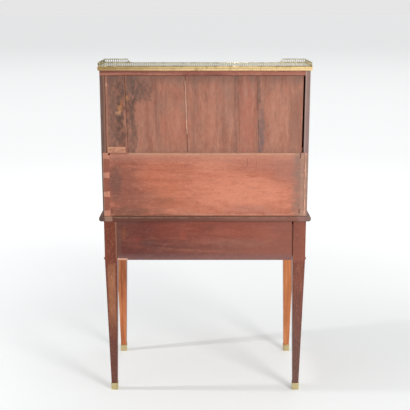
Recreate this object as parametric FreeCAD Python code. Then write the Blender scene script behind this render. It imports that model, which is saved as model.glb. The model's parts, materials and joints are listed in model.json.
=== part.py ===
"""Small mahogany cylinder desk: a table on four tapered legs with one frieze drawer, a quarter-round
cylinder over a writing slide and a nest of drawers, and a shallow cabinet under a galleried marble top.

Millimetres, +Z up, front towards -Y. Depths are given as t, the distance forward of the back plane.
"""

import FreeCAD, Part
import math
import os

V = FreeCAD.Vector

# Driving dimensions: heights
LEG_TAPER_TOP = 532.5
BED_UNDER = 684.0
BED_TOP = 703.5
CABINET_UNDER = 942.5
CABINET_TOP = 1241.0
MARBLE_TOP = 1256.5
GALLERY_TOP = 1271.0

# Driving dimensions: widths, from the middle plane to the outside
CASE_HALF = 380.0
BED_HALF = 395.0
TOP_HALF = 386.0
LEG_OUT = 378.0

# Driving dimensions: depths t, forward of the back plane
LEG_BACK_T = 2.0
BODY_T = 442.0
BED_T = 457.0
BED_BACK_T = -4.0
CABINET_T = 224.0
TOP_LAP = 6.0
SLIDE_FRONT_T = 452.0
SLIDE_KNOB_REACH = 14.0

# The origin is under the middle of the overall box, so the back plane stands at y = Y_BACK.
Y_BACK = (SLIDE_FRONT_T + SLIDE_KNOB_REACH - TOP_LAP) / 2.0

# Boards
CHEEK = 28.0
BACK_BOARD = 20.0
CABINET_BOARD = 18.0
LEG_SQUARE = 47.0
LEG_FOOT = 22.0
APRON = 20.0
APRON_SET = 1.0
APRON_GAP_TOP = 6.0
APRON_GAP_FOOT = 2.5
TENON = 16.0
TENON_THICK = 8.0
TENON_SHOULDER = 12.0
BED_ROUND = 7.0
BED_CHAMFER = 5.0
SABOT_HEIGHT = 28.0
SABOT_WALL = 1.6
SABOT_SOLE = 2.0
RAIL_DEPTH = 40.0
RAIL_HEIGHT = 17.0
TOP_RAIL_HEIGHT = 12.0
BEAD_R = 3.5
BEAD_Z = LEG_TAPER_TOP + 6.0

# Cylinder
AXIS_T = CABINET_T
AXIS_Z = 740.0
CASE_R = CABINET_UNDER - AXIS_Z
CYL_R = CASE_R - 1.5
CYL_THICK = 16.0
CYL_IN = CYL_R - CYL_THICK
CYL_TUCK = 6.0
CYL_FOOT_Z = 726.6
LOCK_RAIL_DEPTH = 18.0
LOCK_RAIL_HEIGHT = 34.0
CHEEK_IN = CASE_HALF - CHEEK
CYL_HALF = CHEEK_IN - 2.0
ARM_OUT = CYL_HALF - 2.0
ARM_IN = ARM_OUT - 5.0
ARM_HUB_R = 11.0
ARM_BAND = 12.0
ARM_SPAN = (14.0, 84.0)
ARM_SPOKES = (22.0, 76.0)
ARM_ROOT_HALF = 9.0
ARM_TIP_HALF = 6.0
PIN_R = 5.0
PIN_END = CHEEK_IN + 12.0
BUSH_R = 8.0
BUSH_END = CHEEK_IN + 14.0
RUN_CLEAR = 0.05

# Writing slide and nest
SLIDE_UNDER = BED_TOP + 0.5
SLIDE_TOP = 725.0
NEST_HALF = ARM_IN - 2.0
GUIDE_IN = NEST_HALF - 7.0
SLIDE_HALF = GUIDE_IN - 1.0
NEST_FLOOR = 726.0
NEST_TOP = 850.0
NEST_FRONT_T = 205.0
NEST_BACK_T = 90.0
NEST_BOARD = 8.0
NEST_BACK = 5.0
NEST_SHELF = 786.0
NEST_DRAWERS = ("left", "centre", "right")
NEST_HOLES = 4
NEST_WALL = 6.0
LEATHER_HALF = 300.0
LEATHER_T = (214.0, 428.0)
LEATHER_THICK = 1.0
LEATHER_SINK = 1.3

# Frieze drawer
DRAWER_HALF = 329.5
DRAWER_LOW = LEG_TAPER_TOP + RAIL_HEIGHT + 1.5
DRAWER_HIGH = BED_UNDER - TOP_RAIL_HEIGHT - 1.5
DRAWER_FACE_T = 440.0
DRAWER_BACK_T = 62.0
DRAWER_LINING = 10.0
DRAWER_BOTTOM = 8.0
RUNNER_LAP = 22.0
RUNNER_HEIGHT = 11.0
KNOB_HALF = 205.0

# A turned knob: share of its radius and share of its reach, from the foot to the crown
KNOB_TURNING = ((0.72, 0.0), (0.42, 0.30), (1.0, 0.64), (0.8, 0.88), (0.25, 1.0))
KNOB_FLATS = 20

# Cabinet doors
CABINET_IN = CASE_HALF - CABINET_BOARD
DOOR_LOW = CABINET_UNDER + CABINET_BOARD + 1.0
DOOR_HIGH = CABINET_TOP - CABINET_BOARD - 1.0
DOOR_THICK = 18.0
DOOR_EDGE = CABINET_IN - 1.5
DOOR_MEET = 1.0
DOOR_STILE = 42.0
DOOR_PANEL = 8.0
DOOR_PIVOT_R = 3.0
DOOR_AXIS = DOOR_EDGE - DOOR_THICK / 2.0
PIVOT_BITE = 12.0

# Pierced brass gallery
GALLERY_PITCH = 8.0
GALLERY_SLOT = 4.8
GALLERY_SHEET = 1.5
GALLERY_RAIL = 3.0
GALLERY_RETURN = 102.0
GALLERY_SWEEP = 14.0
GALLERY_INSET = 1.5
GALLERY_RAIL_HEIGHT = 2.4
GALLERY_FOOT = 3.0

# Lapped dovetails at the back corners of the cylinder case
TAIL_LAP = 6.0
TAIL_FLARE = 3.0
PIN_COUNT = 4
PIN_HEIGHT = 24.0

# Back boards of the cabinet: each seam, from the +X side, by its x at the top and at the foot and its width;
# the boards stop short of the -X side by a gap at the top and at the foot
PLANK_THICK = 10.0
PLANK_T = 3.0
PLANK_SEAMS = ((290.0, 282.0, 1.2), (72.0, 63.5, 1.2), (-120.0, -128.0, 0.3), (-187.0, -198.0, 0.3))
PLANK_GAP = (5.5, 7.0)
PLANK_END_CLEAR = 0.6
RAIL_LAP = 18.0

# Marble top and its brass band
BAND_THICK = 4.0
BAND_ROUND = 3.0


def y_of(t):
    return Y_BACK - t


def block(x0, x1, t0, t1, z0, z1):
    """A board between two planes each way."""
    return Part.makeBox(x1 - x0, t1 - t0, z1 - z0, V(x0, y_of(t1), z0))


def mirror(shape):
    return shape.mirror(V(0, 0, 0), V(1, 0, 0))


def prism_x(points, x0, x1):
    """A board whose outline is drawn on (t, z) and which runs from x0 to x1."""
    wire = Part.makePolygon([V(x0, y_of(t), z) for t, z in points + points[:1]])
    return Part.Face(wire).extrude(V(x1 - x0, 0, 0))


def prism_y(points, t0, t1):
    """A board whose outline is drawn on (x, z) and which runs from t0 to t1."""
    wire = Part.makePolygon([V(x, y_of(t1), z) for x, z in points + points[:1]])
    return Part.Face(wire).extrude(V(0, t1 - t0, 0))


def rod_x(x0, x1, t, z, r):
    return Part.makeCylinder(r, x1 - x0, V(x0, y_of(t), z), V(1, 0, 0))


def loft(rings):
    """A closed solid with flat faces between rings of points that match one to one."""
    faces = [Part.Face(Part.makePolygon(ring + ring[:1])) for ring in (rings[0], rings[-1])]
    count = len(rings[0])
    for low, high in zip(rings, rings[1:]):
        for i in range(count):
            j = (i + 1) % count
            faces.append(Part.Face(Part.makePolygon([low[i], low[j], high[j], high[i], low[i]])))
    solid = Part.Solid(Part.Shell(faces))
    solid.fix(1e-6, 1e-6, 1e-6)
    return solid


def square_loft(x, t, levels):
    """A square spindle with flat tapered faces through (z, side) levels, centred on x and t."""
    rings = []
    for z, side in levels:
        h = side / 2.0
        rings.append([V(x + i * h, y_of(t) + j * h, z) for i, j in ((-1, -1), (1, -1), (1, 1), (-1, 1))])
    return loft(rings)


def knob(x, t, z, r, reach):
    """A turned knob that stands forward out of a face at (x, t, z), drawn with flats round it."""
    angles = [2 * math.pi * i / KNOB_FLATS for i in range(KNOB_FLATS)]
    rings = []
    for share, out in KNOB_TURNING:
        radius, y = r * share, y_of(t + out * reach)
        rings.append([V(x + radius * math.cos(a), y, z + radius * math.sin(a)) for a in angles])
    return loft(rings)


def knob_pair(t, z, r, reach):
    return Part.makeCompound([knob(side * KNOB_HALF, t, z, r, reach) for side in (-1, 1)])


def escutcheon(x, t, z, half_w, half_h, thick):
    """A lozenge-shaped brass key plate on a vertical face, with a round and slotted keyhole."""
    corners = [(x, z - half_h), (x + half_w, z), (x, z + half_h), (x - half_w, z)]
    plate = prism_y(corners, t, t + thick)
    eye = Part.makeCylinder(half_w * 0.24, thick, V(x, y_of(t), z + half_h * 0.14), V(0, -1, 0))
    slot = block(x - half_w * 0.11, x + half_w * 0.11, t, t + thick, z - half_h * 0.4, z + half_h * 0.14)
    return plate.cut(eye.fuse(slot))


def polar(radius, degrees):
    """A point of the cylinder's section; 0 degrees is straight forward and 90 straight up."""
    a = math.radians(degrees)
    return V(0, y_of(AXIS_T) - radius * math.cos(a), AXIS_Z + radius * math.sin(a))


def ring_sector(r_in, r_out, a0, a1, x0, x1):
    """A curved board between two radii and two angles about the cylinder's axis."""
    mid = (a0 + a1) / 2.0
    edges = [
        Part.Arc(polar(r_out, a0), polar(r_out, mid), polar(r_out, a1)).toShape(),
        Part.LineSegment(polar(r_out, a1), polar(r_in, a1)).toShape(),
        Part.Arc(polar(r_in, a1), polar(r_in, mid), polar(r_in, a0)).toShape(),
        Part.LineSegment(polar(r_in, a0), polar(r_out, a0)).toShape(),
    ]
    face = Part.Face(Part.Wire(edges))
    face.translate(V(x0, 0, 0))
    return face.extrude(V(x1 - x0, 0, 0))


# Table frame

def leg_centre(side, front):
    half = LEG_SQUARE / 2.0
    return side * (LEG_OUT - half), (BODY_T - half if front else LEG_BACK_T + half)


def apron_tenons(side, front):
    """The two tenons that enter one leg: from the side apron and from the rear apron or front rails."""
    low, high = LEG_TAPER_TOP + TENON_SHOULDER, BED_UNDER - TENON_SHOULDER
    x, t = leg_centre(side, front)
    half = LEG_SQUARE / 2.0
    mid_x = side * (LEG_OUT - APRON / 2.0)
    side_t = (t - half, t - half + TENON) if front else (t + half - TENON, t + half)
    tenons = [block(mid_x - TENON_THICK / 2, mid_x + TENON_THICK / 2, *side_t, low, high)]
    if not front:
        x_in = x - side * half
        x_deep = x_in + side * TENON
        if side < 0:
            x_in += APRON_GAP_TOP
        mid_t = LEG_BACK_T + APRON_SET + APRON / 2.0
        half_thick = TENON_THICK / 2.0
        tenons.append(block(*sorted((x_in, x_deep)), mid_t - half_thick, mid_t + half_thick, low, high))
    return tenons


def leg(side, front):
    x, t = leg_centre(side, front)
    shaft = square_loft(x, t, [(SABOT_SOLE, LEG_FOOT), (LEG_TAPER_TOP, LEG_SQUARE)])
    half = LEG_SQUARE / 2.0
    post = block(x - half, x + half, t - half, t + half, LEG_TAPER_TOP, BED_UNDER)
    whole = shaft.fuse(post).removeSplitter()
    for tenon in apron_tenons(side, front):
        whole = whole.cut(tenon)
    return whole


def leg_side_at(z):
    return LEG_FOOT + (LEG_SQUARE - LEG_FOOT) * (z - SABOT_SOLE) / (LEG_TAPER_TOP - SABOT_SOLE)


def sabot(side, front):
    """A square brass toe cap: a thin tapered sleeve with a rolled rim and a closed sole."""
    x, t = leg_centre(side, front)
    rim = SABOT_HEIGHT - 4.0
    wall, lip = 2 * SABOT_WALL, 2 * SABOT_WALL + 1.6
    outer = square_loft(x, t, [(0, LEG_FOOT + wall), (rim, leg_side_at(rim) + wall)])
    top_side = leg_side_at(SABOT_HEIGHT)
    band = square_loft(x, t, [(rim, leg_side_at(rim) + lip), (SABOT_HEIGHT, top_side + wall)])
    inside = square_loft(x, t, [(SABOT_SOLE, LEG_FOOT), (SABOT_HEIGHT, top_side)])
    return outer.fuse(band).cut(inside).removeSplitter()


def rear_apron():
    """The apron between the back legs; its shoulder has shrunk off the -X leg, most at the top."""
    inner = LEG_OUT - LEG_SQUARE
    outline = [(APRON_GAP_FOOT - inner, LEG_TAPER_TOP), (inner, LEG_TAPER_TOP), (inner, BED_UNDER),
               (APRON_GAP_TOP - inner, BED_UNDER)]
    board = prism_y(outline, LEG_BACK_T + APRON_SET, LEG_BACK_T + APRON_SET + APRON)
    for side in (-1, 1):
        board = board.fuse(apron_tenons(side, False)[1])
    return board.removeSplitter()


def side_apron(side):
    t0, t1 = LEG_BACK_T + LEG_SQUARE, BODY_T - LEG_SQUARE
    edges = sorted((side * LEG_OUT, side * (LEG_OUT - APRON)))
    board = block(edges[0], edges[1], t0, t1, LEG_TAPER_TOP, BED_UNDER)
    return board.fuse([apron_tenons(side, False)[0], apron_tenons(side, True)[0]]).removeSplitter()


def front_rails():
    inner = LEG_OUT - LEG_SQUARE
    t0, t1 = BODY_T - RAIL_DEPTH, BODY_T - 1.0
    low = block(-inner, inner, t0, t1, LEG_TAPER_TOP, LEG_TAPER_TOP + RAIL_HEIGHT)
    high = block(-inner, inner, t0, t1, BED_UNDER - TOP_RAIL_HEIGHT, BED_UNDER)
    return Part.makeCompound([low, high])


def drawer_runners():
    """Oak runners fixed to the side aprons, level with the lower front rail."""
    top = DRAWER_LOW - 0.5
    t0, t1 = LEG_BACK_T + LEG_SQUARE, BODY_T - LEG_SQUARE
    right = block(DRAWER_HALF - RUNNER_LAP, LEG_OUT - APRON, t0, t1, top - RUNNER_HEIGHT, top)
    return Part.makeCompound([right, mirror(right)])


def frieze_bead():
    """A half-round bead round the sides and front at the foot of the frieze, with mitred corners."""
    plan = [(LEG_OUT, LEG_BACK_T), (LEG_OUT, BODY_T), (-LEG_OUT, BODY_T), (-LEG_OUT, LEG_BACK_T)]
    points = [V(x, y_of(t), BEAD_Z) for x, t in plan]
    path = Part.makePolygon(points)
    low, high, out = points[0] - V(0, 0, BEAD_R), points[0] + V(0, 0, BEAD_R), points[0] + V(BEAD_R, 0, 0)
    half_round = Part.Wire([Part.Arc(low, out, high).toShape(), Part.LineSegment(high, low).toShape()])
    right_corners = 1
    return Part.Solid(path.makePipeShell([half_round], True, False, right_corners))


def desk_bed():
    """The bed board, with a moulded edge on its front and sides and a plain back."""
    board = block(-BED_HALF, BED_HALF, BED_BACK_T, BED_T, BED_UNDER, BED_TOP)
    def moulded(z):
        found = []
        for edge in board.Edges:
            c = edge.CenterOfMass
            on_rim = abs(abs(c.x) - BED_HALF) < 0.1 or abs(c.y - y_of(BED_T)) < 0.1
            if on_rim and abs(c.z - z) < 0.1:
                found.append(edge)
        return found
    board = board.makeFillet(BED_ROUND, moulded(BED_TOP))
    return board.makeChamfer(BED_CHAMFER, moulded(BED_UNDER))


# Cylinder case

def pin_levels():
    """Middle heights of the dovetail pins, the first at the bed and the last at the top."""
    low, high = BED_TOP + PIN_HEIGHT / 2.0, CABINET_UNDER - PIN_HEIGHT / 2.0
    return [low + (high - low) * i / (PIN_COUNT - 1) for i in range(PIN_COUNT)]


def dovetails(side):
    """The tails of the back board that lie between the pins of one side."""
    tails = []
    x_in, x_out = side * CHEEK_IN, side * (CASE_HALF - TAIL_LAP)
    levels = pin_levels()
    for below, above in zip(levels, levels[1:]):
        z0, z1 = below + PIN_HEIGHT / 2.0, above - PIN_HEIGHT / 2.0
        outline = [(x_in, z0), (x_out, z0 - TAIL_FLARE), (x_out, z1 + TAIL_FLARE), (x_in, z1)]
        tails.append(prism_y(outline, 0.0, BACK_BOARD))
    return tails


def lower_back_board():
    """The back of the cylinder case, lapped into both sides, with a worn slope along its top edge."""
    wear_in, wear_down = 6.0, 9.0
    inner_face = [(0, BED_TOP), (BACK_BOARD, BED_TOP), (BACK_BOARD, CABINET_UNDER)]
    section = inner_face + [(wear_in, CABINET_UNDER), (0, CABINET_UNDER - wear_down)]
    board = prism_x(section, -CHEEK_IN, CHEEK_IN)
    return board.fuse(dovetails(-1) + dovetails(1)).removeSplitter()


def cylinder_case_side(side):
    """A side of the cylinder case: straight at the foot, then a quarter round up to the cabinet."""
    outline = [(AXIS_T, CABINET_UNDER), (0, CABINET_UNDER), (0, BED_TOP), (AXIS_T + CASE_R, BED_TOP)]
    corners = [V(0, y_of(t), z) for t, z in outline] + [polar(CASE_R, 0)]
    edges = [Part.LineSegment(a, b).toShape() for a, b in zip(corners, corners[1:])]
    edges.append(Part.Arc(polar(CASE_R, 0), polar(CASE_R, 45), polar(CASE_R, 90)).toShape())
    face = Part.Face(Part.Wire(edges))
    x0, x1 = sorted((side * CHEEK_IN, side * CASE_HALF))
    face.translate(V(x0, 0, 0))
    board = face.extrude(V(x1 - x0, 0, 0))
    bore = sorted((side * CHEEK_IN, side * BUSH_END))
    return board.cut(dovetails(side) + [rod_x(bore[0], bore[1], AXIS_T, AXIS_Z, BUSH_R)])


def pivot_bushes():
    sleeve = rod_x(CHEEK_IN, BUSH_END, AXIS_T, AXIS_Z, BUSH_R)
    right = sleeve.cut(rod_x(CHEEK_IN, PIN_END + 0.5, AXIS_T, AXIS_Z, PIN_R + RUN_CLEAR))
    return Part.makeCompound([right, mirror(right)])


def slide_guides():
    right = block(GUIDE_IN, CHEEK_IN, BACK_BOARD, AXIS_T + CASE_R - 1.0, BED_TOP, NEST_FLOOR)
    return Part.makeCompound([right, mirror(right)])


# Cylinder and its arms

def cylinder_shell():
    """The curved panel, with a short straight foot that comes down to the writing slide."""
    curve = ring_sector(CYL_IN, CYL_R, 0, 90 + CYL_TUCK, -CYL_HALF, CYL_HALF)
    foot = block(-CYL_HALF, CYL_HALF, AXIS_T + CYL_IN, AXIS_T + CYL_R, CYL_FOOT_Z, AXIS_Z)
    return curve.fuse(foot).removeSplitter()


def cylinder_lock_rail():
    """A stiffening rail inside the foot of the cylinder that carries its lock."""
    t1 = AXIS_T + CYL_IN
    half, top = ARM_IN - 2.0, CYL_FOOT_Z + LOCK_RAIL_HEIGHT
    rail = block(-half, half, t1 - LOCK_RAIL_DEPTH, t1, CYL_FOOT_Z, top)
    core = rod_x(-CYL_HALF, CYL_HALF, AXIS_T, AXIS_Z, CYL_IN)
    above = block(-CYL_HALF, CYL_HALF, t1 - LOCK_RAIL_DEPTH, t1, CYL_FOOT_Z, AXIS_Z)
    return rail.common(core.fuse(above))


def cylinder_arm():
    """An iron quadrant: a hub, two tapered spokes and a curved band screwed inside the cylinder's end."""
    band = ring_sector(CYL_IN - ARM_BAND, CYL_IN, *ARM_SPAN, ARM_IN, ARM_OUT)
    arm = band.fuse(rod_x(ARM_IN, ARM_OUT, AXIS_T, AXIS_Z, ARM_HUB_R))
    for degrees in ARM_SPOKES:
        root, tip = polar(0, degrees), polar(CYL_IN - ARM_BAND / 2.0, degrees)
        along = tip - root
        across = V(0, -along.z, along.y).normalize()
        wide, slim = across * ARM_ROOT_HALF, across * ARM_TIP_HALF
        corners = [root + wide, tip + slim, tip - slim, root - wide]
        wire = Part.makePolygon(corners + corners[:1])
        wire.translate(V(ARM_IN, 0, 0))
        arm = arm.fuse(Part.Face(wire).extrude(V(ARM_OUT - ARM_IN, 0, 0)))
    return arm.fuse(rod_x(ARM_IN, PIN_END, AXIS_T, AXIS_Z, PIN_R)).removeSplitter()


def cylinder_arms():
    right = cylinder_arm()
    return Part.makeCompound([right, mirror(right)])


def cylinder_knobs():
    return knob_pair(AXIS_T + CYL_R, (CYL_FOOT_Z + AXIS_Z) / 2.0, 8.0, 19.0)


# Writing slide


def writing_slide():
    nose_t = SLIDE_FRONT_T - 8.0
    board = block(-SLIDE_HALF, SLIDE_HALF, BACK_BOARD + 4.0, nose_t, SLIDE_UNDER, SLIDE_TOP)
    nose = block(-SLIDE_HALF, SLIDE_HALF, nose_t, SLIDE_FRONT_T, SLIDE_UNDER, SLIDE_TOP)
    on_front = [e for e in nose.Edges if abs(e.CenterOfMass.y - y_of(SLIDE_FRONT_T)) < 0.1]
    long_edges = [e for e in on_front if e.Length > SLIDE_HALF]
    slide = board.fuse(nose.makeFillet(5.0, long_edges)).removeSplitter()
    return slide.cut(block(-LEATHER_HALF, LEATHER_HALF, *LEATHER_T, SLIDE_TOP - LEATHER_SINK, SLIDE_TOP))


def writing_leather():
    low = SLIDE_TOP - LEATHER_SINK
    return block(-LEATHER_HALF, LEATHER_HALF, *LEATHER_T, low, low + LEATHER_THICK)


def slide_knobs():
    return knob_pair(SLIDE_FRONT_T, (SLIDE_UNDER + SLIDE_TOP) / 2.0, 6.0, SLIDE_KNOB_REACH)


# Nest of drawers and pigeonholes

def nest_bays(count):
    """The clear widths between the uprights for a row of equal openings."""
    inner = NEST_HALF - NEST_WALL
    width = (2 * inner - (count - 1) * NEST_WALL) / count
    starts = [-inner + i * (width + NEST_WALL) for i in range(count)]
    return [(start, start + width) for start in starts]


def nest_shelves():
    floor = block(-NEST_HALF, NEST_HALF, BACK_BOARD, NEST_FRONT_T, NEST_FLOOR, NEST_FLOOR + NEST_BOARD)
    inner = NEST_HALF - NEST_WALL
    shelf = block(-inner, inner, NEST_BACK_T + NEST_BACK, NEST_FRONT_T, NEST_SHELF, NEST_SHELF + NEST_WALL)
    top = block(-NEST_HALF, NEST_HALF, NEST_BACK_T, NEST_FRONT_T, NEST_TOP - NEST_BOARD, NEST_TOP)
    return Part.makeCompound([floor, shelf, top])


def nest_uprights():
    low, high = NEST_FLOOR + NEST_BOARD, NEST_TOP - NEST_BOARD
    t0 = NEST_BACK_T + NEST_BACK
    walls = [block(NEST_HALF - NEST_WALL, NEST_HALF, t0, NEST_FRONT_T, low, high)]
    walls.append(mirror(walls[0]))
    drawers, holes = nest_bays(len(NEST_DRAWERS)), nest_bays(NEST_HOLES)
    for left, right in zip(drawers, drawers[1:]):
        walls.append(block(left[1], right[0], t0, NEST_FRONT_T, low, NEST_SHELF))
    hole_low = NEST_SHELF + NEST_WALL
    for left, right in zip(holes, holes[1:]):
        upright = block(left[1], right[0], t0, NEST_FRONT_T, hole_low, high)
        scoop = rod_x(left[1], right[0], NEST_FRONT_T + 16.0, (hole_low + high) / 2.0, 34.0)
        walls.append(upright.cut(scoop))
    return Part.makeCompound(walls)


def nest_back():
    low, high = NEST_FLOOR + NEST_BOARD, NEST_TOP - NEST_BOARD
    return block(-NEST_HALF, NEST_HALF, NEST_BACK_T, NEST_BACK_T + NEST_BACK, low, high)


def open_box(x0, x1, t0, t1, z0, z1, front, wall, floor):
    """The separate boards of a drawer: front, two sides, back and bottom."""
    inside_t = t1 - front
    return [
        block(x0, x1, inside_t, t1, z0, z1),
        block(x0, x0 + wall, t0, inside_t, z0, z1 - 4.0),
        block(x1 - wall, x1, t0, inside_t, z0, z1 - 4.0),
        block(x0 + wall, x1 - wall, t0, t0 + wall, z0 + floor, z1 - 8.0),
        block(x0 + wall, x1 - wall, t0, inside_t, z0, z0 + floor),
    ]


def nest_drawer(i):
    """The boards of one small drawer and its turned wooden knob."""
    x0, x1 = nest_bays(len(NEST_DRAWERS))[i]
    z0, z1 = NEST_FLOOR + NEST_BOARD + 0.5, NEST_SHELF - 1.0
    front_t = NEST_FRONT_T - 1.0
    boards = open_box(x0 + 1.0, x1 - 1.0, NEST_BACK_T + 9.0, front_t, z0, z1, 9.0, 5.0, 4.0)
    return Part.makeCompound(boards + [knob((x0 + x1) / 2.0, front_t, (z0 + z1) / 2.0, 5.5, 13.0)])


# Frieze drawer

def drawer_boards():
    depth, height = (DRAWER_BACK_T, DRAWER_FACE_T), (DRAWER_LOW, DRAWER_HIGH)
    return open_box(-DRAWER_HALF, DRAWER_HALF, *depth, *height, APRON, DRAWER_LINING, DRAWER_BOTTOM)


def drawer_knobs():
    return knob_pair(DRAWER_FACE_T, (DRAWER_LOW + DRAWER_HIGH) / 2.0, 11.0, 24.0)


# Cabinet under the marble


def cabinet_side(side):
    """A side board, rebated at the back for the planks; the +X one is notched for the lapped top rail."""
    x0, x1 = sorted((side * CABINET_IN, side * CASE_HALF))
    board = block(x0, x1, 0.0, CABINET_T, CABINET_UNDER, CABINET_TOP)
    if side > 0:
        board = board.cut(block(x0, x1, 0.0, CABINET_BOARD, CABINET_TOP - RAIL_LAP, CABINET_TOP))
    return board


def door_pivot_bores(side):
    t = CABINET_T - DOOR_THICK / 2.0
    x = side * DOOR_AXIS
    height = CABINET_TOP - CABINET_UNDER
    return Part.makeCylinder(DOOR_PIVOT_R + RUN_CLEAR, height, V(x, y_of(t), CABINET_UNDER))


def cabinet_shelf(z0, z1, t0):
    board = block(-CABINET_IN, CABINET_IN, t0, CABINET_T, z0, z1)
    return board.cut([door_pivot_bores(-1), door_pivot_bores(1)])


def cabinet_floor():
    return cabinet_shelf(CABINET_UNDER, CABINET_UNDER + CABINET_BOARD, PLANK_T + PLANK_THICK)


def cabinet_top_board():
    return cabinet_shelf(CABINET_TOP - CABINET_BOARD, CABINET_TOP, CABINET_BOARD)


def back_top_rail():
    return block(-CABINET_IN, CASE_HALF, 0.0, CABINET_BOARD, CABINET_TOP - RAIL_LAP, CABINET_TOP)


def back_planks():
    """Upright boards of unequal width with slanting open seams, short of the -X side."""
    ends = CABINET_IN - PLANK_END_CLEAR
    top, foot = ends, ends
    low, high = CABINET_UNDER, CABINET_TOP - RAIL_LAP
    planks = []
    for seam_top, seam_foot, width in (*PLANK_SEAMS, (PLANK_GAP[0] - ends, PLANK_GAP[1] - ends, 0.0)):
        half = width / 2.0
        corners = [(seam_foot + half, low), (foot, low), (top, high), (seam_top + half, high)]
        planks.append(prism_y(corners, PLANK_T, PLANK_T + PLANK_THICK))
        top, foot = seam_top - half, seam_foot - half
    return Part.makeCompound(planks)


# Cabinet doors

def door_t():
    return CABINET_T - DOOR_THICK, CABINET_T


def door_frame(side):
    """Two stiles and two rails; the hinge stile has a round edge about its pivots."""
    t0, t1 = door_t()
    hinge = block(DOOR_EDGE - DOOR_STILE, DOOR_AXIS, t0, t1, DOOR_LOW, DOOR_HIGH)
    height = DOOR_HIGH - DOOR_LOW
    nose = Part.makeCylinder(DOOR_THICK / 2.0, height, V(DOOR_AXIS, y_of((t0 + t1) / 2), DOOR_LOW))
    hinge = hinge.fuse(nose).removeSplitter().cut(door_pivot_pair(side=1))
    meeting = block(DOOR_MEET, DOOR_MEET + DOOR_STILE, t0, t1, DOOR_LOW, DOOR_HIGH)
    x0, x1 = DOOR_MEET + DOOR_STILE, DOOR_EDGE - DOOR_STILE
    low_rail = block(x0, x1, t0, t1, DOOR_LOW, DOOR_LOW + DOOR_STILE)
    high_rail = block(x0, x1, t0, t1, DOOR_HIGH - DOOR_STILE, DOOR_HIGH)
    frame = Part.makeCompound([hinge, meeting, low_rail, high_rail])
    return frame if side > 0 else mirror(frame)


def door_opening():
    return DOOR_MEET + DOOR_STILE, DOOR_EDGE - DOOR_STILE, DOOR_LOW + DOOR_STILE, DOOR_HIGH - DOOR_STILE


def door_panel(side):
    x0, x1, z0, z1 = door_opening()
    t0 = door_t()[0] + 3.0
    panel = block(x0, x1, t0, t0 + DOOR_PANEL, z0, z1)
    return panel if side > 0 else mirror(panel)


def door_bead(side):
    """A brass fillet round the inside of the frame, on the panel."""
    x0, x1, z0, z1 = door_opening()
    t0 = door_t()[0] + 3.0 + DOOR_PANEL
    t1, w = CABINET_T - 1.0, 5.0
    bead = block(x0, x1, t0, t1, z0, z1).cut(block(x0 + w, x1 - w, t0, t1, z0 + w, z1 - w))
    inner = []
    for edge in bead.Edges:
        c = edge.CenterOfMass
        inside = x0 + w - 0.1 <= c.x <= x1 - w + 0.1 and z0 + w - 0.1 <= c.z <= z1 - w + 0.1
        if inside and abs(c.y - y_of(t1)) < 0.1:
            inner.append(edge)
    bead = bead.makeChamfer(3.5, inner)
    return bead if side > 0 else mirror(bead)


def door_pivot_pair(side):
    t = CABINET_T - DOOR_THICK / 2.0
    x = side * DOOR_AXIS
    reach = 2 * PIVOT_BITE
    low = Part.makeCylinder(DOOR_PIVOT_R, reach, V(x, y_of(t), DOOR_LOW - PIVOT_BITE))
    high = Part.makeCylinder(DOOR_PIVOT_R, reach, V(x, y_of(t), DOOR_HIGH - PIVOT_BITE))
    return [low, high]


def door_pivots(side):
    return Part.makeCompound(door_pivot_pair(side))


# Marble top, brass band and gallery


def marble_top():
    x = TOP_HALF - BAND_THICK
    return block(-x, x, BAND_THICK - TOP_LAP, CABINET_T + TOP_LAP - BAND_THICK, CABINET_TOP, MARBLE_TOP)


def marble_band():
    """A rounded brass fillet that holds the marble on all four edges."""
    t0, t1 = -TOP_LAP, CABINET_T + TOP_LAP
    outer = block(-TOP_HALF, TOP_HALF, t0, t1, CABINET_TOP, MARBLE_TOP)
    rim = [e for e in outer.Edges if abs(e.CenterOfMass.z - CABINET_TOP) < 0.1]
    return outer.makeFillet(BAND_ROUND, rim).cut(marble_top())


def slot_outline(u, low, high):
    """One cusped piercing, centred on u along the strip."""
    h, cut = GALLERY_SLOT / 2.0, GALLERY_SLOT * 0.3
    foot = [(u - h, low), (u + h, low)]
    return foot + [(u + h, high - cut), (u + h - cut, high), (u - h + cut, high), (u - h, high - cut)]


def gallery_strip(length, swept):
    """A pierced strip with a rail along its top, lying along +X from 0 and standing on z 0."""
    rise = GALLERY_TOP - MARBLE_TOP
    outline = [V(0, 0, 0), V(length, 0, 0), V(length, 0, rise), V(0, 0, rise)]
    if swept:
        sweep = [(0.0, GALLERY_FOOT), (GALLERY_SWEEP * 0.6, rise * 0.35), (GALLERY_SWEEP, rise)]
        outline[2:3] = [V(length - back, 0, z) for back, z in sweep]
    wires = [Part.makePolygon(outline + outline[:1])]
    clear = length - (GALLERY_SWEEP if swept else 0.0)
    count = int((clear - 4.0) / GALLERY_PITCH)
    start = (clear - (count - 1) * GALLERY_PITCH) / 2.0
    head = rise - GALLERY_RAIL_HEIGHT - 1.1
    for i in range(count):
        outline = slot_outline(start + i * GALLERY_PITCH, GALLERY_FOOT, head)
        points = [V(u, 0, z) for u, z in outline]
        wires.append(Part.makePolygon(points + points[:1]))
    strip = Part.Face(wires, "Part::FaceMakerBullseye").extrude(V(0, GALLERY_SHEET, 0))
    foot = V(0, (GALLERY_SHEET - GALLERY_RAIL) / 2.0, rise - GALLERY_RAIL_HEIGHT)
    rail = Part.makeBox(clear, GALLERY_RAIL, GALLERY_RAIL_HEIGHT, foot)
    return strip.fuse(rail).removeSplitter()


def placed_strip(length, swept, x, t, degrees):
    strip = gallery_strip(length, swept)
    strip.rotate(V(0, 0, 0), V(0, 0, 1), degrees)
    strip.translate(V(x, y_of(t), MARBLE_TOP))
    return strip


def gallery_back():
    x = TOP_HALF - GALLERY_INSET
    return placed_strip(2 * x, False, -x, -TOP_LAP + GALLERY_INSET + GALLERY_SHEET, 0)


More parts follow.
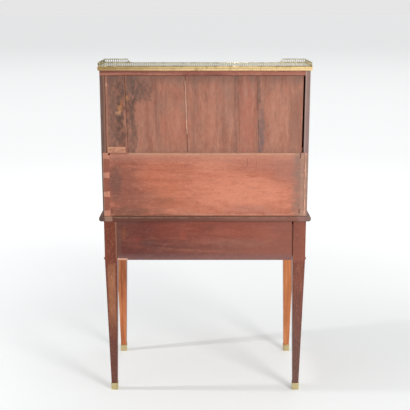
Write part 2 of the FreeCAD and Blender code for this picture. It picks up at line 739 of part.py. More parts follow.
def gallery_sides():
    gap = GALLERY_INSET + GALLERY_SHEET + (GALLERY_RAIL - GALLERY_SHEET) / 2.0
    length = CABINET_T + 2 * TOP_LAP - 2 * gap
    right = placed_strip(length, False, TOP_HALF - GALLERY_INSET, CABINET_T + TOP_LAP - gap, 90)
    return Part.makeCompound([right, mirror(right)])


def gallery_returns():
    x = TOP_HALF - GALLERY_INSET
    left = placed_strip(GALLERY_RETURN, True, -x, CABINET_T + TOP_LAP - GALLERY_INSET, 0)
    return Part.makeCompound([left, mirror(left)])


def build():
    """Every piece by its node name."""
    names = {-1: "left", 1: "right"}
    parts = {}
    for side, hand in names.items():
        parts[f"leg_front_{hand}"] = leg(side, True)
        parts[f"leg_back_{hand}"] = leg(side, False)
        parts[f"side_apron_{hand}"] = side_apron(side)
        parts[f"cylinder_case_side_{hand}"] = cylinder_case_side(side)
        parts[f"cabinet_side_{hand}"] = cabinet_side(side)
        parts[f"door_{hand}_frame"] = door_frame(side)
        parts[f"door_{hand}_panel"] = door_panel(side)
        parts[f"door_{hand}_bead"] = door_bead(side)
        parts[f"door_{hand}_pivots"] = door_pivots(side)
    parts["leg_sabots"] = Part.makeCompound([sabot(s, f) for s in names for f in (False, True)])
    parts["rear_apron"] = rear_apron()
    parts["front_rails"] = front_rails()
    parts["drawer_runners"] = drawer_runners()
    parts["frieze_bead"] = frieze_bead()
    parts["desk_bed"] = desk_bed()
    parts["lower_back_board"] = lower_back_board()
    parts["pivot_bushes"] = pivot_bushes()
    parts["slide_guides"] = slide_guides()
    parts["cylinder_shell"] = cylinder_shell()
    parts["cylinder_lock_rail"] = cylinder_lock_rail()
    parts["cylinder_arms"] = cylinder_arms()
    parts["cylinder_knobs"] = cylinder_knobs()
    parts["writing_slide"] = writing_slide()
    parts["writing_leather"] = writing_leather()
    parts["slide_knobs"] = slide_knobs()
    parts["nest_shelves"] = nest_shelves()
    parts["nest_uprights"] = nest_uprights()
    parts["nest_back"] = nest_back()
    for i, place in enumerate(NEST_DRAWERS):
        parts[f"nest_drawer_{place}"] = nest_drawer(i)
    front, left, right, back, bottom = drawer_boards()
    parts["drawer_front"] = front
    parts["drawer_sides"] = Part.makeCompound([left, right])
    parts["drawer_back"] = back
    parts["drawer_bottom"] = bottom
    parts["drawer_knobs"] = drawer_knobs()
    parts["drawer_escutcheon"] = escutcheon(0, DRAWER_FACE_T, DRAWER_HIGH - 32.0, 11.0, 15.0, 1.4)
    door_x, door_z = DOOR_MEET + DOOR_STILE / 2.0, (DOOR_LOW + DOOR_HIGH) / 2.0
    parts["door_escutcheon"] = escutcheon(door_x, CABINET_T, door_z, 7.0, 11.0, 1.2)
    parts["cylinder_escutcheon"] = escutcheon(0, AXIS_T + CYL_R, (CYL_FOOT_Z + AXIS_Z) / 2.0, 5.0, 6.2, 1.0)
    parts["cabinet_floor"] = cabinet_floor()
    parts["cabinet_top_board"] = cabinet_top_board()
    parts["back_top_rail"] = back_top_rail()
    parts["back_planks"] = back_planks()
    parts["marble_top"] = marble_top()
    parts["marble_band"] = marble_band()
    parts["gallery_back"] = gallery_back()
    parts["gallery_sides"] = gallery_sides()
    parts["gallery_returns"] = gallery_returns()
    return parts


def main():
    os.makedirs("parts", exist_ok=True)
    for name, shape in build().items():
        if not shape.isValid() or shape.Volume <= 0:
            raise ValueError(f"{name} isn't a valid solid")
        shape.exportStep(f"parts/{name}.step")


main()
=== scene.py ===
"""Looks of a small mahogany cylinder desk, seen from behind: dry red back boards, worn polish, aged brass."""

import json
import math
import random

import bmesh
import bpy
from mathutils import Matrix, Vector


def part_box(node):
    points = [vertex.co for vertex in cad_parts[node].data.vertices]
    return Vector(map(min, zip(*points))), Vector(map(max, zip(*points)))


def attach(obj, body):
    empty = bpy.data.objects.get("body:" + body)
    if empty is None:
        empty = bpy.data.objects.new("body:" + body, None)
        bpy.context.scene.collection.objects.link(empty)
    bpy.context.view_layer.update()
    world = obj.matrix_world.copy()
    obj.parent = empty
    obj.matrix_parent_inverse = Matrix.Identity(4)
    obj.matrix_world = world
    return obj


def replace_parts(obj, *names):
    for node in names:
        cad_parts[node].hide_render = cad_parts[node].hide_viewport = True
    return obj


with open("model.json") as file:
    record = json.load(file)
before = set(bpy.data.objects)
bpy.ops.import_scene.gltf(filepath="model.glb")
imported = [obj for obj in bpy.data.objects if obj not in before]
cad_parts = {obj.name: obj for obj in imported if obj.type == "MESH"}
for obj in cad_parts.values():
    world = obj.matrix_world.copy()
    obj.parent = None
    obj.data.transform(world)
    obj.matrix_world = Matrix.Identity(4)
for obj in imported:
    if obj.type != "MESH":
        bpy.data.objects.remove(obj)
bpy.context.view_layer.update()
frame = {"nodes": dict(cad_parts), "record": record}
random.seed(7)

# Places read from the frame, in metres; +X is on the left of the picture
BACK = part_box("cabinet_side_left")[1][1]
BED_LOW, BED_HIGH = (corner[2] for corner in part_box("desk_bed"))
BOARD_LOW, BOARD_HIGH = (corner[2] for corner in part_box("lower_back_board"))
PLANK_FACE, PLANK_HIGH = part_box("back_planks")[1][1:]
RAIL_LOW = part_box("back_top_rail")[0][2]
CABINET_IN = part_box("cabinet_side_right")[0][0]
CHEEK_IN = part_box("cylinder_case_side_right")[0][0]
TAIL_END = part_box("lower_back_board")[1][0]
APRON_END, _, APRON_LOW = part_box("rear_apron")[0]

# Camera of the photograph: a long lens behind the desk, a little above its top
CAMERA_AWAY = 3.119
CAMERA_HEIGHT = 1.4567
CAMERA_PITCH = math.radians(12.83)
CAMERA_LENS = 75.53
CAMERA_SENSOR = 36.0

# Lamps: name, place, target, size, power and colour
LAMPS = (
    ("key", (-1.9, 2.7, 2.2), (0, 0, 0.8), 1.1, 53.0, (1.0, 0.98, 0.95)),
    ("side", (2.1, 0.22, 1.65), (0, 0.1, 0.2), 0.10, 16.0, (1.0, 1.0, 1.0)),
    ("fill", (2.6, 2.8, 1.8), (0, 0, 0.7), 2.2, 10.0, (0.95, 0.98, 1.0)),
)
FLOOR_REACH = 220.0

# Rounding of worn edges, and the angle from which an edge counts as sharp
ROUND_EDGE = 0.0012
BOARD_EDGE = 0.0010
EDGE = 0.0009
THIN_EDGE = 0.0006
FINE_EDGE = 0.0005
HAIR_EDGE = 0.0003
SHARP = math.radians(38)

# Pierced gallery
GALLERY_PITCH = 0.0076
GALLERY_SHEET = 0.0015
GALLERY_RETURN = 0.102
GALLERY_SWEEP = 0.014
OPENING_SHARE = 0.72
OPENING_LOW = 0.0026
FOOT_HIGH = OPENING_LOW * 0.75
ARCH_WEB = 0.0008
GALLERY_RAIL_HIGH = 0.0026
GALLERY_RAIL_WIDE = 0.0030
ARCH_STEPS = 6
SWEEP_STEPS = 8
RAIL_SIDES = 12

# Moulded brass band: share of its thickness inwards, share of its height
BAND_THICK = 0.004
BAND_PROFILE = (
    (0.70, 0.00), (0.42, 0.03), (0.20, 0.09), (0.06, 0.17), (0.00, 0.27), (0.00, 0.56),
    (0.04, 0.59), (0.24, 0.61), (0.28, 0.64), (0.24, 0.68), (0.08, 0.72), (0.00, 0.79),
    (0.02, 0.87), (0.12, 0.94), (0.30, 0.985), (0.50, 1.00), (1.00, 1.00), (1.00, 0.00),
)

# Knob from the back of its rosette to the middle of its head: share of radius, share of reach
KNOB_PROFILE = (
    (0.0, 0.0), (0.80, 0.0), (0.86, 0.03), (0.86, 0.07), (0.74, 0.11), (0.72, 0.15),
    (0.55, 0.19), (0.42, 0.25), (0.37, 0.33), (0.40, 0.42), (0.52, 0.48), (0.60, 0.50),
    (0.60, 0.53), (0.78, 0.57), (0.93, 0.64), (1.0, 0.73), (0.97, 0.82), (0.86, 0.90),
    (0.68, 0.95), (0.50, 0.965), (0.44, 0.955), (0.36, 0.97), (0.20, 0.995), (0.0, 1.0),
)
TURN_STEPS = 32

# Pale slip over the foot of the narrow plank: its corners in x and z, and its nails as radius and reach
SLIP_LOW, SLIP_HIGH = (0.2905, 0.9432), (0.3570, 0.9645)
SLIP_PLAY = 0.0004
SLIP_CUTS = 14
SLIP_WAVE = 0.0009
NAILS_AT = (SLIP_LOW[0] + 0.012, SLIP_HIGH[0] - 0.010)
NAIL_SUNK = 0.0012
NAIL_PROFILE = (
    (0.0, -0.0014), (0.0012, -0.0013), (0.0018, -0.0009), (0.0018, -0.0002), (0.0009, 0.0), (0.0009, 0.004),
    (0.0, 0.004),
)

# Leaning seams between the planks: x at the foot and lean per metre of height; the splinter in one of them
OLD_SEAM, OLD_LEAN = 0.2820, 0.0285
SPRUNG_SEAM, SPRUNG_LEAN = 0.0635, 0.0303
SLIVER_FOOT, SLIVER_TOP = 1.010, 1.206
SLIVER_STEPS = 26
SLIVER_DEEP = 0.004

# Bare strip of the narrow plank, corners and tips of the bed, painted highlight down an arris of a leg, torn
# joint and, at the foot of the rear apron, where it begins to be torn: x from, to
BARE_STRIP = (0.3538, 0.3600)
BED_CORNER = (0.346, 0.374)
BED_TIP = (0.368, 0.384)
LEG_ARRIS_HIGHLIGHT = (0.3305, 0.3362)
TORN_LINE = (-0.3672, -0.3650)
TORN_STRIP = (-0.3715, -0.3672)
TORN_FOOT = (0.288, 0.296)


def srgb(red, green, blue):
    """A screen colour in 0 to 255 as the linear colour that a shader takes."""
    linear = []
    for part in (red, green, blue):
        value = part / 255.0
        linear.append(value / 12.92 if value <= 0.04045 else ((value + 0.055) / 1.055) ** 2.4)
    return (*linear, 1.0)


# Woods: deep, body and pale tone
PLANK = (srgb(146, 94, 77), srgb(170, 114, 95), srgb(188, 133, 112))
LOWER = (srgb(170, 98, 77), srgb(190, 115, 91), srgb(208, 133, 107))
TOP_RAIL = (srgb(130, 76, 66), srgb(163, 105, 89), srgb(186, 129, 108))
MAHOGANY = (srgb(76, 30, 17), srgb(118, 54, 33), srgb(156, 84, 54))
APRON = (srgb(74, 28, 18), srgb(110, 46, 33), srgb(140, 76, 58))
BACK_LEG = (srgb(82, 32, 15), srgb(116, 48, 26), srgb(144, 75, 48))
OAK = (srgb(128, 92, 58), srgb(164, 124, 84), srgb(190, 152, 110))
NEST = (srgb(120, 70, 42), srgb(158, 98, 62), srgb(186, 126, 84))
PINE = (srgb(134, 84, 64), srgb(160, 106, 84), srgb(182, 128, 102))
FLAME = (srgb(70, 25, 13), srgb(126, 54, 29), srgb(172, 92, 52))
SLIP = (srgb(176, 116, 90), srgb(200, 142, 114), srgb(216, 164, 136))
SLIVER = (srgb(206, 158, 132), srgb(232, 194, 170), srgb(244, 216, 196))

# Dirt and bare wood
DUST = srgb(150, 118, 104)
DAMP = srgb(104, 82, 74)
SOOT = srgb(84, 62, 54)
RAW_WOOD = srgb(216, 164, 134)
PITCH = srgb(30, 19, 15)

# Spots on the upright planks: x, z, half width, half height, strength and tone
PLANK_SPOTS = (
    (0.330, 1.090, 0.030, 0.170, 0.75, DAMP),
    (0.308, 1.060, 0.014, 0.160, 0.60, SOOT),
    (0.268, 1.180, 0.028, 0.050, 0.80, DAMP),
    (0.230, 1.172, 0.036, 0.036, 0.80, DAMP),
    (0.272, 1.100, 0.017, 0.060, 0.75, SOOT),
    (0.264, 1.010, 0.016, 0.085, 0.70, DAMP),
    (0.110, 1.040, 0.050, 0.070, 0.35, srgb(190, 116, 92)),
    (-0.020, 1.050, 0.022, 0.080, 0.40, srgb(198, 132, 106)),
    (-0.085, 1.130, 0.030, 0.070, 0.25, DUST),
    (-0.155, 1.060, 0.026, 0.110, 0.55, srgb(178, 106, 92)),
    (-0.193, 1.160, 0.006, 0.080, 0.60, DAMP),
    (-0.206, 1.025, 0.012, 0.085, 0.95, srgb(118, 98, 96)),
    (-0.262, 1.080, 0.040, 0.070, 0.35, srgb(198, 142, 118)),
    (-0.330, 1.080, 0.022, 0.160, 0.50, srgb(146, 108, 94)),
)
KNOTS = (
    (0.309, 1.102, 0.010, 0.015, 0.70, srgb(186, 130, 88)),
    (0.315, 1.088, 0.008, 0.008, 0.60, srgb(200, 148, 116)),
    (0.302, 1.122, 0.005, 0.010, 0.60, srgb(176, 108, 68)),
    (0.283, 1.142, 0.007, 0.008, 0.60, srgb(198, 138, 92)),
    (0.357, 1.192, 0.0022, 0.010, 1.00, srgb(230, 192, 164)),
)

# Dark streaks down the planks: x, half width and strength
PLANK_STREAKS = ((-0.112, 0.008, 0.60), (0.040, 0.006, 0.25), (0.172, 0.008, 0.25))

# Spots on the dovetailed board, as on the planks
LOWER_SPOTS = (
    (0.305, 0.815, 0.070, 0.130, 0.75, srgb(138, 84, 72)),
    (0.260, 0.722, 0.090, 0.014, 0.60, srgb(116, 82, 68)),
    (0.330, 0.830, 0.022, 0.060, 0.60, srgb(112, 82, 74)),
    (0.225, 0.760, 0.100, 0.040, 0.50, srgb(146, 90, 74)),
    (0.180, 0.850, 0.060, 0.030, 0.40, srgb(196, 112, 84)),
    (0.130, 0.790, 0.050, 0.045, 0.45, srgb(206, 124, 92)),
    (0.150, 0.764, 0.040, 0.012, 0.50, srgb(140, 86, 66)),
    (-0.150, 0.790, 0.170, 0.060, 0.70, srgb(226, 148, 120)),
    (-0.020, 0.830, 0.090, 0.050, 0.40, srgb(214, 134, 106)),
    (-0.040, 0.897, 0.075, 0.022, 0.50, srgb(218, 146, 120)),
    (-0.210, 0.895, 0.120, 0.022, 0.55, srgb(178, 116, 98)),
    (-0.300, 0.880, 0.060, 0.050, 0.60, srgb(172, 118, 104)),
    (-0.170, 0.730, 0.080, 0.014, 0.45, srgb(172, 118, 106)),
)
CORNER_HOLE = ((0.3530, 0.9372, 0.0046, 0.0030, 1.00, PITCH),)

# Open slits beside the dovetails and drying cracks in the board: x, foot, top and strength
OPEN_SLITS = (
    (0.3465, 0.715, 0.734, 1.0),
    (-0.3505, 0.715, 0.731, 1.0),
    (-0.3500, 0.922, 0.938, 1.0),
    (-0.1560, 0.893, 0.922, 0.35),
    (-0.1890, 0.888, 0.912, 0.30),
    (0.0300, 0.735, 0.765, 0.25),
)
SLIT_HALF = 0.0011

# Spots on the rear apron, as on the planks
APRON_SPOTS = (
    (0.306, 0.634, 0.010, 0.024, 0.85, srgb(150, 78, 36)),
    (0.270, 0.612, 0.034, 0.013, 0.80, srgb(146, 58, 40)),
    (0.262, 0.588, 0.024, 0.010, 0.70, srgb(140, 62, 46)),
    (0.215, 0.602, 0.026, 0.010, 0.60, srgb(92, 58, 50)),
    (0.322, 0.600, 0.009, 0.080, 0.70, srgb(118, 78, 62)),
    (0.084, 0.632, 0.012, 0.014, 0.60, srgb(160, 72, 48)),
    (0.140, 0.640, 0.070, 0.020, 0.45, srgb(120, 58, 48)),
    (-0.080, 0.640, 0.060, 0.014, 0.45, srgb(164, 84, 62)),
    (-0.020, 0.608, 0.060, 0.012, 0.40, srgb(156, 90, 70)),
    (-0.230, 0.625, 0.040, 0.030, 0.40, srgb(166, 88, 64)),
    (-0.140, 0.600, 0.100, 0.014, 0.40, srgb(136, 98, 84)),
)


# Shader expressions

class Value:
    """A socket of a node tree; arithmetic on it adds Math nodes."""

    def __init__(self, tree, socket):
        self.tree = tree
        self.socket = socket

    def math(self, operation, *others):
        return self.tree.math(operation, self, *others)

    def __add__(self, other):
        return self.math("ADD", other)

    def __radd__(self, other):
        return self.tree.math("ADD", other, self)

    def __sub__(self, other):
        return self.math("SUBTRACT", other)

    def __rsub__(self, other):
        return self.tree.math("SUBTRACT", other, self)

    def __mul__(self, other):
        return self.math("MULTIPLY", other)

    def __rmul__(self, other):
        return self.tree.math("MULTIPLY", other, self)

    def __truediv__(self, other):
        return self.math("DIVIDE", other)

    def __abs__(self):
        return self.math("ABSOLUTE")


class Tree:
    """A node tree that is built by one method."""

    def __init__(self, tree):
        self.tree = tree
        self.tree.nodes.clear()

    def node(self, kind, settings=None, inputs=None, output=0):
        """Any node: its settings first, then the values or links of its sockets."""
        made = self.tree.nodes.new(kind)
        for key, value in (settings or {}).items():
            if key == "stops":
                ramp = made.color_ramp.elements
                for place, _ in value[1:-1]:
                    ramp.new(place)
                for element, (place, colour) in zip(ramp, value):
                    element.position = place
                    element.color = colour
            else:
                setattr(made, key, value)
        for key, value in (inputs or {}).items():
            socket = made.inputs[key]
            if isinstance(value, Value):
                self.tree.links.new(value.socket, socket)
            else:
                socket.default_value = value
        return Value(self, made.outputs[output]) if made.outputs else None


class Shading(Tree):
    """The nodes that finishes and the world are made of."""

    def math(self, operation, *values):
        return self.node("ShaderNodeMath", {"operation": operation}, dict(enumerate(values)))

    def place(self):
        return self.node("ShaderNodeTexCoord", output="Object")

    def attribute(self, name, output="Vector"):
        return self.node("ShaderNodeAttribute", {"attribute_name": name}, output=output)

    def split(self, vector):
        made = self.node("ShaderNodeSeparateXYZ", inputs={0: vector})
        return [Value(self, output) for output in made.socket.node.outputs]

    def axes(self):
        """The x, y and z of a point of the desk."""
        return self.split(self.place())

    def join(self, x, y, z):
        return self.node("ShaderNodeCombineXYZ", inputs={0: x, 1: y, 2: z})

    def stretch(self, vector, factors):
        return self.node("ShaderNodeVectorMath", {"operation": "MULTIPLY"}, {0: vector, 1: factors})

    def shift(self, vector, other):
        return self.node("ShaderNodeVectorMath", {"operation": "ADD"}, {0: vector, 1: other})

    def noise(self, vector, scale=1.0, detail=4.0, roughness=0.55):
        """Noise over a vector; scale is one number, or three where it is stretched."""
        if isinstance(scale, tuple):
            vector = self.stretch(vector, scale)
            scale = 1.0
        values = {"Vector": vector, "Scale": scale, "Detail": detail, "Roughness": roughness}
        return self.node("ShaderNodeTexNoise", inputs=values)

    def smooth(self, value, low, high):
        """0 below low, 1 above high, eased between them."""
        values = {"Value": value, "From Min": low, "From Max": high, "To Min": 0.0, "To Max": 1.0}
        return self.node("ShaderNodeMapRange", {"interpolation_type": "SMOOTHSTEP", "clamp": True}, values)

    def fade(self, value, low, high):
        """1 below low, 0 above high, eased between them."""
        return 1.0 - self.smooth(value, low, high)

    def strip(self, value, low, high, soft):
        """1 between low and high of a coordinate, 0 outside."""
        return self.smooth(value, low - soft, low + soft) * self.fade(value, high - soft, high + soft)

    def cloud(self, scale, low, high, detail=4.0, roughness=0.55):
        """Noise over the desk, 0 where it is below low and 1 where it is above high."""
        return self.smooth(self.noise(self.place(), scale, detail, roughness), low, high)

    def ragged(self, scale, amount, detail=4.0):
        """A broken edge for patches and strips, from -amount to amount."""
        return (self.noise(self.place(), scale, detail, 0.6) - 0.5) * (4.0 * amount)

    def patch(self, x, z, half_x, half_z, edge, soft):
        """A spot round (x, z) on an upright face, 1 inside and 0 outside; edge is its raggedness."""
        px, _, pz = self.axes()
        across = (px - x) / half_x
        up = (pz - z) / half_z
        far = (across * across + up * up).math("SQRT")
        return self.fade(far + edge, 1.0 - soft, 1.0 + soft)

    def left_half(self):
        """1 on the +X side of the desk and 0 on its -X side, eased over the middle."""
        px, _, _ = self.axes()
        return self.smooth(px, -0.1, 0.1)

    def ramp(self, value, stops):
        return self.node("ShaderNodeValToRGB", {"stops": stops}, {0: value})

    def mix(self, factor, first, second):
        settings = {"data_type": "RGBA", "clamp_factor": True}
        return self.node("ShaderNodeMix", settings, {0: factor, 6: first, 7: second}, 2)

    def bump(self, height, strength, distance):
        values = {"Height": height, "Strength": strength, "Distance": distance}
        return self.node("ShaderNodeBump", inputs=values)


class Finish(Shading):
    """One material under construction."""

    def __init__(self, name):
        self.material = bpy.data.materials.new(name)
        self.material.use_nodes = True
        super().__init__(self.material.node_tree)

    def surface(self, **sockets):
        """The principled shader and the material's output."""
        inputs = {key.replace("_", " "): value for key, value in sockets.items()}
        shader = self.node("ShaderNodeBsdfPrincipled", inputs=inputs)
        self.node("ShaderNodeOutputMaterial", inputs={"Surface": shader})
        return self.material


# Wood

def grain_colour(finish, tones, figure, stripe):
    """Colour and height of a board whose grain runs along its own length."""
    deep, body, pale = tones
    grain = finish.attribute("grain")
    drift = finish.noise(grain, (2.6, 9.0, 9.0), 2.0) * figure
    bent = finish.shift(finish.stretch(grain, (2.2, stripe, stripe)), finish.join(0.0, drift, drift))
    bands = finish.noise(bent, 1.0, 6.0, 0.6)
    mottle = finish.noise(grain, (42.0, 95.0, 95.0), 5.0, 0.68)
    fibre = finish.noise(grain, (17.0, 430.0, 430.0), 4.0, 0.7)
    pores = finish.smooth(finish.noise(grain, (60.0, 900.0, 900.0), 2.0), 0.60, 0.72)
    arches = (finish.noise(grain, (1.7, 10.0, 10.0), 1.5, 0.4) * 9.0).math("PINGPONG", 0.5)
    tone = bands * 0.32 + mottle * 0.36 + fibre * 0.24 + arches * 0.16
    colour = finish.ramp(tone, [(0.37, deep), (0.50, body), (0.63, pale)])
    colour = finish.mix(pores * 0.35, colour, deep)
    return colour, fibre * 0.6 + bands * 0.4 - pores * 0.5


def polished(name, tones, figure=5.0, roughness=0.34, coat=0.25, stripe=48.0, marks=None):
    """Mahogany under an old shellac polish, dulled in clouds and worn pale on its edges."""
    finish = Finish(name)
    colour, height = grain_colour(finish, tones, figure, stripe)
    pale = tones[-1]
    dull = finish.noise(finish.place(), 11.0, 5.0, 0.65)
    worn = finish.attribute("worn", "Fac") * finish.cloud(85.0, 0.40, 0.62)
    scuff = finish.cloud((160.0, 160.0, 70.0), 0.66, 0.74)
    colour = finish.mix(worn * 0.5, colour, pale)
    colour = finish.mix(scuff * 0.2, colour, pale)
    if marks:
        colour = marks(finish, colour)
    rough = roughness + (dull - 0.5) * 0.35 + worn * 0.2 + scuff * 0.1
    gloss = coat * (1.0 - worn * 0.8) * finish.smooth(dull, 0.25, 0.7)
    return finish.surface(Base_Color=colour, Roughness=rough, Normal=finish.bump(height, 0.12, 0.0006),
                          Coat_Weight=gloss, Coat_Roughness=0.22, Specular_IOR_Level=0.35)


def dry(name, tones, figure=4.0, roughness=0.74, stripe=40.0, marks=None):
    """Unpolished wood under a thin, rubbed red stain, or bare."""
    finish = Finish(name)
    colour, height = grain_colour(finish, tones, figure, stripe)
    dust = finish.noise(finish.place(), 7.0, 5.0, 0.6)
    worn = finish.attribute("worn", "Fac") * finish.cloud(70.0, 0.35, 0.6)
    colour = finish.mix(worn * 0.5, colour, tones[-1])
    if marks:
        colour = marks(finish, colour)
    rough = roughness + (dust - 0.5) * 0.25
    return finish.surface(Base_Color=colour, Roughness=rough, Normal=finish.bump(height, 0.3, 0.0008),
                          Specular_IOR_Level=0.2)


# Marks of age on the woods

def spotted(finish, colour, spots, edge, soft=0.5, cover=1.0):
    """Lay a table of spots over a colour; cover thins them all."""
    for x, z, half_x, half_z, strength, tone in spots:
        spot = finish.patch(x, z, half_x, half_z, edge, soft)
        colour = finish.mix(spot * (cover * strength), colour, tone)
    return colour


def flecked(finish, colour, scale, amount):
    """Fine pale and dark flecks over a finish."""
    fleck = finish.noise(finish.place(), scale, 4.0, 0.7)
    colour = finish.mix(finish.smooth(fleck, 0.54, 0.72) * amount, colour, srgb(232, 190, 170))
    return finish.mix(finish.fade(fleck, 0.30, 0.46) * amount, colour, srgb(70, 44, 36))


def plank_marks(finish, colour):
    """Dust, damp and soot on the outside of the upright planks, and the orange edge of an old seam."""
    px, py, pz = finish.axes()
    inside = colour
    edge = finish.ragged((95.0, 95.0, 38.0), 0.8, 5.0)
    blotch = finish.cloud((85.0, 85.0, 50.0), 0.34, 0.62, 5.0, 0.7)
    veil = finish.cloud((26.0, 26.0, 14.0), 0.40, 0.68, 6.0, 0.7)
    high = finish.smooth(pz, 1.00, 1.24)
    colour = finish.mix(veil * (0.25 + high * 0.35), colour, DUST)
    level = pz + edge * 0.008
    # Darker along the top and the foot of the planks.
    rim = finish.smooth(level, PLANK_HIGH - 0.045, PLANK_HIGH - 0.006)
    foot = finish.fade(level, BOARD_HIGH + 0.004, BOARD_HIGH + 0.026)
    colour = finish.mix(rim.math("MAXIMUM", foot * 0.3) * 0.45, colour, DAMP)
    colour = spotted(finish, colour, PLANK_SPOTS, edge, cover=0.45 + blotch * 0.55)
    colour = spotted(finish, colour, KNOTS, finish.ragged((210.0, 210.0, 150.0), 0.9, 5.0), 0.4)
    broken = finish.cloud((120.0, 120.0, 6.0), 0.34, 0.60, 5.0, 0.65)
    for x, half, strength in PLANK_STREAKS:
        streak = finish.strip(px + edge * 0.003, x - half, x + half, half * 0.6) * broken
        colour = finish.mix(streak * strength, colour, DAMP)
    colour = finish.mix(finish.cloud(310.0, 0.69, 0.75, 3.0) * 0.5, colour, RAW_WOOD)
    bare = finish.strip(px + edge * 0.001, *BARE_STRIP, 0.0008) * (0.5 + blotch * 0.5)
    colour = finish.mix(bare, colour, srgb(172, 120, 100))
    off_seam = px - (pz - BOARD_HIGH) * OLD_LEAN - OLD_SEAM
    orange = finish.strip(off_seam + edge * 0.0006, -0.0042, -0.0008, 0.0006)
    orange = orange * finish.smooth(pz + edge * 0.02, 1.13, 1.17)
    colour = finish.mix(orange * blotch * 0.6, colour, srgb(186, 112, 68))
    return finish.mix(finish.smooth(py, PLANK_FACE - 0.004, PLANK_FACE - 0.001), inside, colour)


def rough_joint(finish, colour):
    """A dark line and a torn pale strip down the dovetails of the -X corner."""
    px, _, _ = finish.axes()
    torn = finish.cloud((120.0, 120.0, 40.0), 0.36, 0.58)
    level = px + finish.ragged((260.0, 260.0, 90.0), 0.5) * 0.0022
    colour = finish.mix(finish.strip(level, *TORN_LINE, 0.0005) * torn * 0.8, colour, srgb(112, 72, 58))
    return finish.mix(finish.strip(level, *TORN_STRIP, 0.0006) * torn, colour, srgb(216, 166, 144))


def corner_hole(finish, colour):
    """A broken hole at the top corner of the joint, under the slip."""
    return spotted(finish, colour, CORNER_HOLE, finish.ragged((240.0, 240.0, 240.0), 0.3), 0.25)


def lower_marks(finish, colour):
    """Sun, glue and hand dirt on the outside of the dovetailed board, with its rubbed top, grimy ends and a
    painted shadow along its foot.
    """
    px, py, pz = finish.axes()
    inside = colour
    edge = finish.ragged((22.0, 22.0, 60.0), 0.55)
    colour = spotted(finish, colour, LOWER_SPOTS, edge, 0.7)
    veil = finish.cloud((20.0, 20.0, 70.0), 0.52, 0.70, 6.0, 0.7)
    colour = finish.mix(veil * 0.30, colour, srgb(158, 110, 94))
    scratch = finish.cloud((14.0, 14.0, 420.0), 0.68, 0.72, 2.0)
    colour = finish.mix(scratch * 0.35, colour, RAW_WOOD)
    dusty = finish.smooth(pz + edge * 0.012, BOARD_HIGH - 0.045, BOARD_HIGH - 0.010)
    colour = finish.mix(dusty * 0.30, colour, srgb(202, 156, 136))
    grey = finish.smooth(edge * 0.022 - px, 0.305, 0.350)
    low_tone = finish.cloud((50.0, 50.0, 34.0), 0.36, 0.62, 5.0, 0.7)
    colour = finish.mix(grey * (0.45 + low_tone * 0.50), colour, srgb(146, 117, 105))
    rubbed = finish.smooth(pz + edge * 0.004, BOARD_HIGH - 0.0105, BOARD_HIGH - 0.0070)
    beyond_slip = finish.fade(px, 0.276, 0.288)
    chipped = finish.cloud((26.0, 26.0, 90.0), 0.34, 0.60, 5.0, 0.7)
    colour = finish.mix(rubbed * beyond_slip * (0.35 + chipped * 0.45), colour, srgb(204, 158, 132))
    # Painted shadow along the foot of the board, deeper towards +X.
    foot = finish.fade(pz + edge * 0.008, BOARD_LOW + 0.002, BOARD_LOW + 0.014)
    colour = finish.mix(foot * (0.15 + finish.smooth(px, -0.05, 0.15) * 0.40), colour, srgb(124, 88, 72))
    pale_line = finish.strip(pz + edge * 0.002, BOARD_LOW + 0.0045, BOARD_LOW + 0.0100, 0.0012) * chipped
    pale_line = pale_line * finish.fade(px, 0.04, 0.16)
    colour = finish.mix(pale_line * 0.50, colour, srgb(206, 166, 146))
    tails = finish.smooth(abs(px), CHEEK_IN - 0.001, CHEEK_IN + 0.001)
    tone = finish.mix(finish.left_half(), srgb(172, 132, 114), srgb(148, 88, 72))
    colour = finish.mix(tails * 0.75, colour, tone)
    colour = rough_joint(finish, flecked(finish, colour, (110.0, 110.0, 200.0), 0.16))
    for x, low, high, strength in OPEN_SLITS:
        slit = finish.strip(px + edge * 0.0008, x - SLIT_HALF, x + SLIT_HALF, 0.0005)
        slit = slit * finish.strip(pz, low, high, 0.002)
        colour = finish.mix(slit * strength, colour, PITCH)
    return finish.mix(finish.smooth(py, BACK - 0.012, BACK - 0.009), inside, corner_hole(finish, colour))


def cheek_back(finish, colour):
    """The back edges of the cheeks: pale dovetail pins, and a lap outside them, darker on the +X side."""
    px, py, _ = finish.axes()
    rear = finish.smooth(py, BACK - 0.0012, BACK - 0.0004)
    wide = abs(px)
    side = finish.left_half()
    pins = finish.fade(wide, TAIL_END - 0.0005, TAIL_END + 0.0005)
    lap = finish.mix(side, srgb(154, 126, 114), srgb(94, 68, 56))
    tone = finish.mix(pins, lap, finish.mix(side, srgb(178, 135, 115), srgb(202, 133, 107)))
    line = finish.strip(wide, TAIL_END - 0.0012, TAIL_END + 0.0014, 0.0005)
    tone = finish.mix(line * 0.8, tone, srgb(206, 158, 134))
    tone = finish.mix(finish.cloud(60.0, 0.42, 0.66, 5.0, 0.65) * 0.35, tone, srgb(132, 98, 82))
    return finish.mix(rear, colour, corner_hole(finish, rough_joint(finish, tone)))


def cabinet_edge(finish, colour):
    """The back edges of the cabinet's sides, bare and greyed by handling."""
    px, py, _ = finish.axes()
    rear = finish.smooth(py, BACK - 0.0030, BACK - 0.0008)
    inner = finish.fade(abs(px), CABINET_IN + 0.0040, CABINET_IN + 0.0070)
    side = finish.left_half()
    bare = finish.mix(side, srgb(146, 117, 111), srgb(104, 76, 64))
    streaks = finish.cloud((90.0, 90.0, 12.0), 0.42, 0.62, 5.0, 0.7)
    bare = finish.mix(streaks * 0.45, bare, srgb(134, 104, 94))
    bare = finish.mix(inner * 0.9, bare, finish.mix(side, srgb(166, 138, 130), srgb(138, 96, 78)))
    return finish.mix(rear, colour, bare)


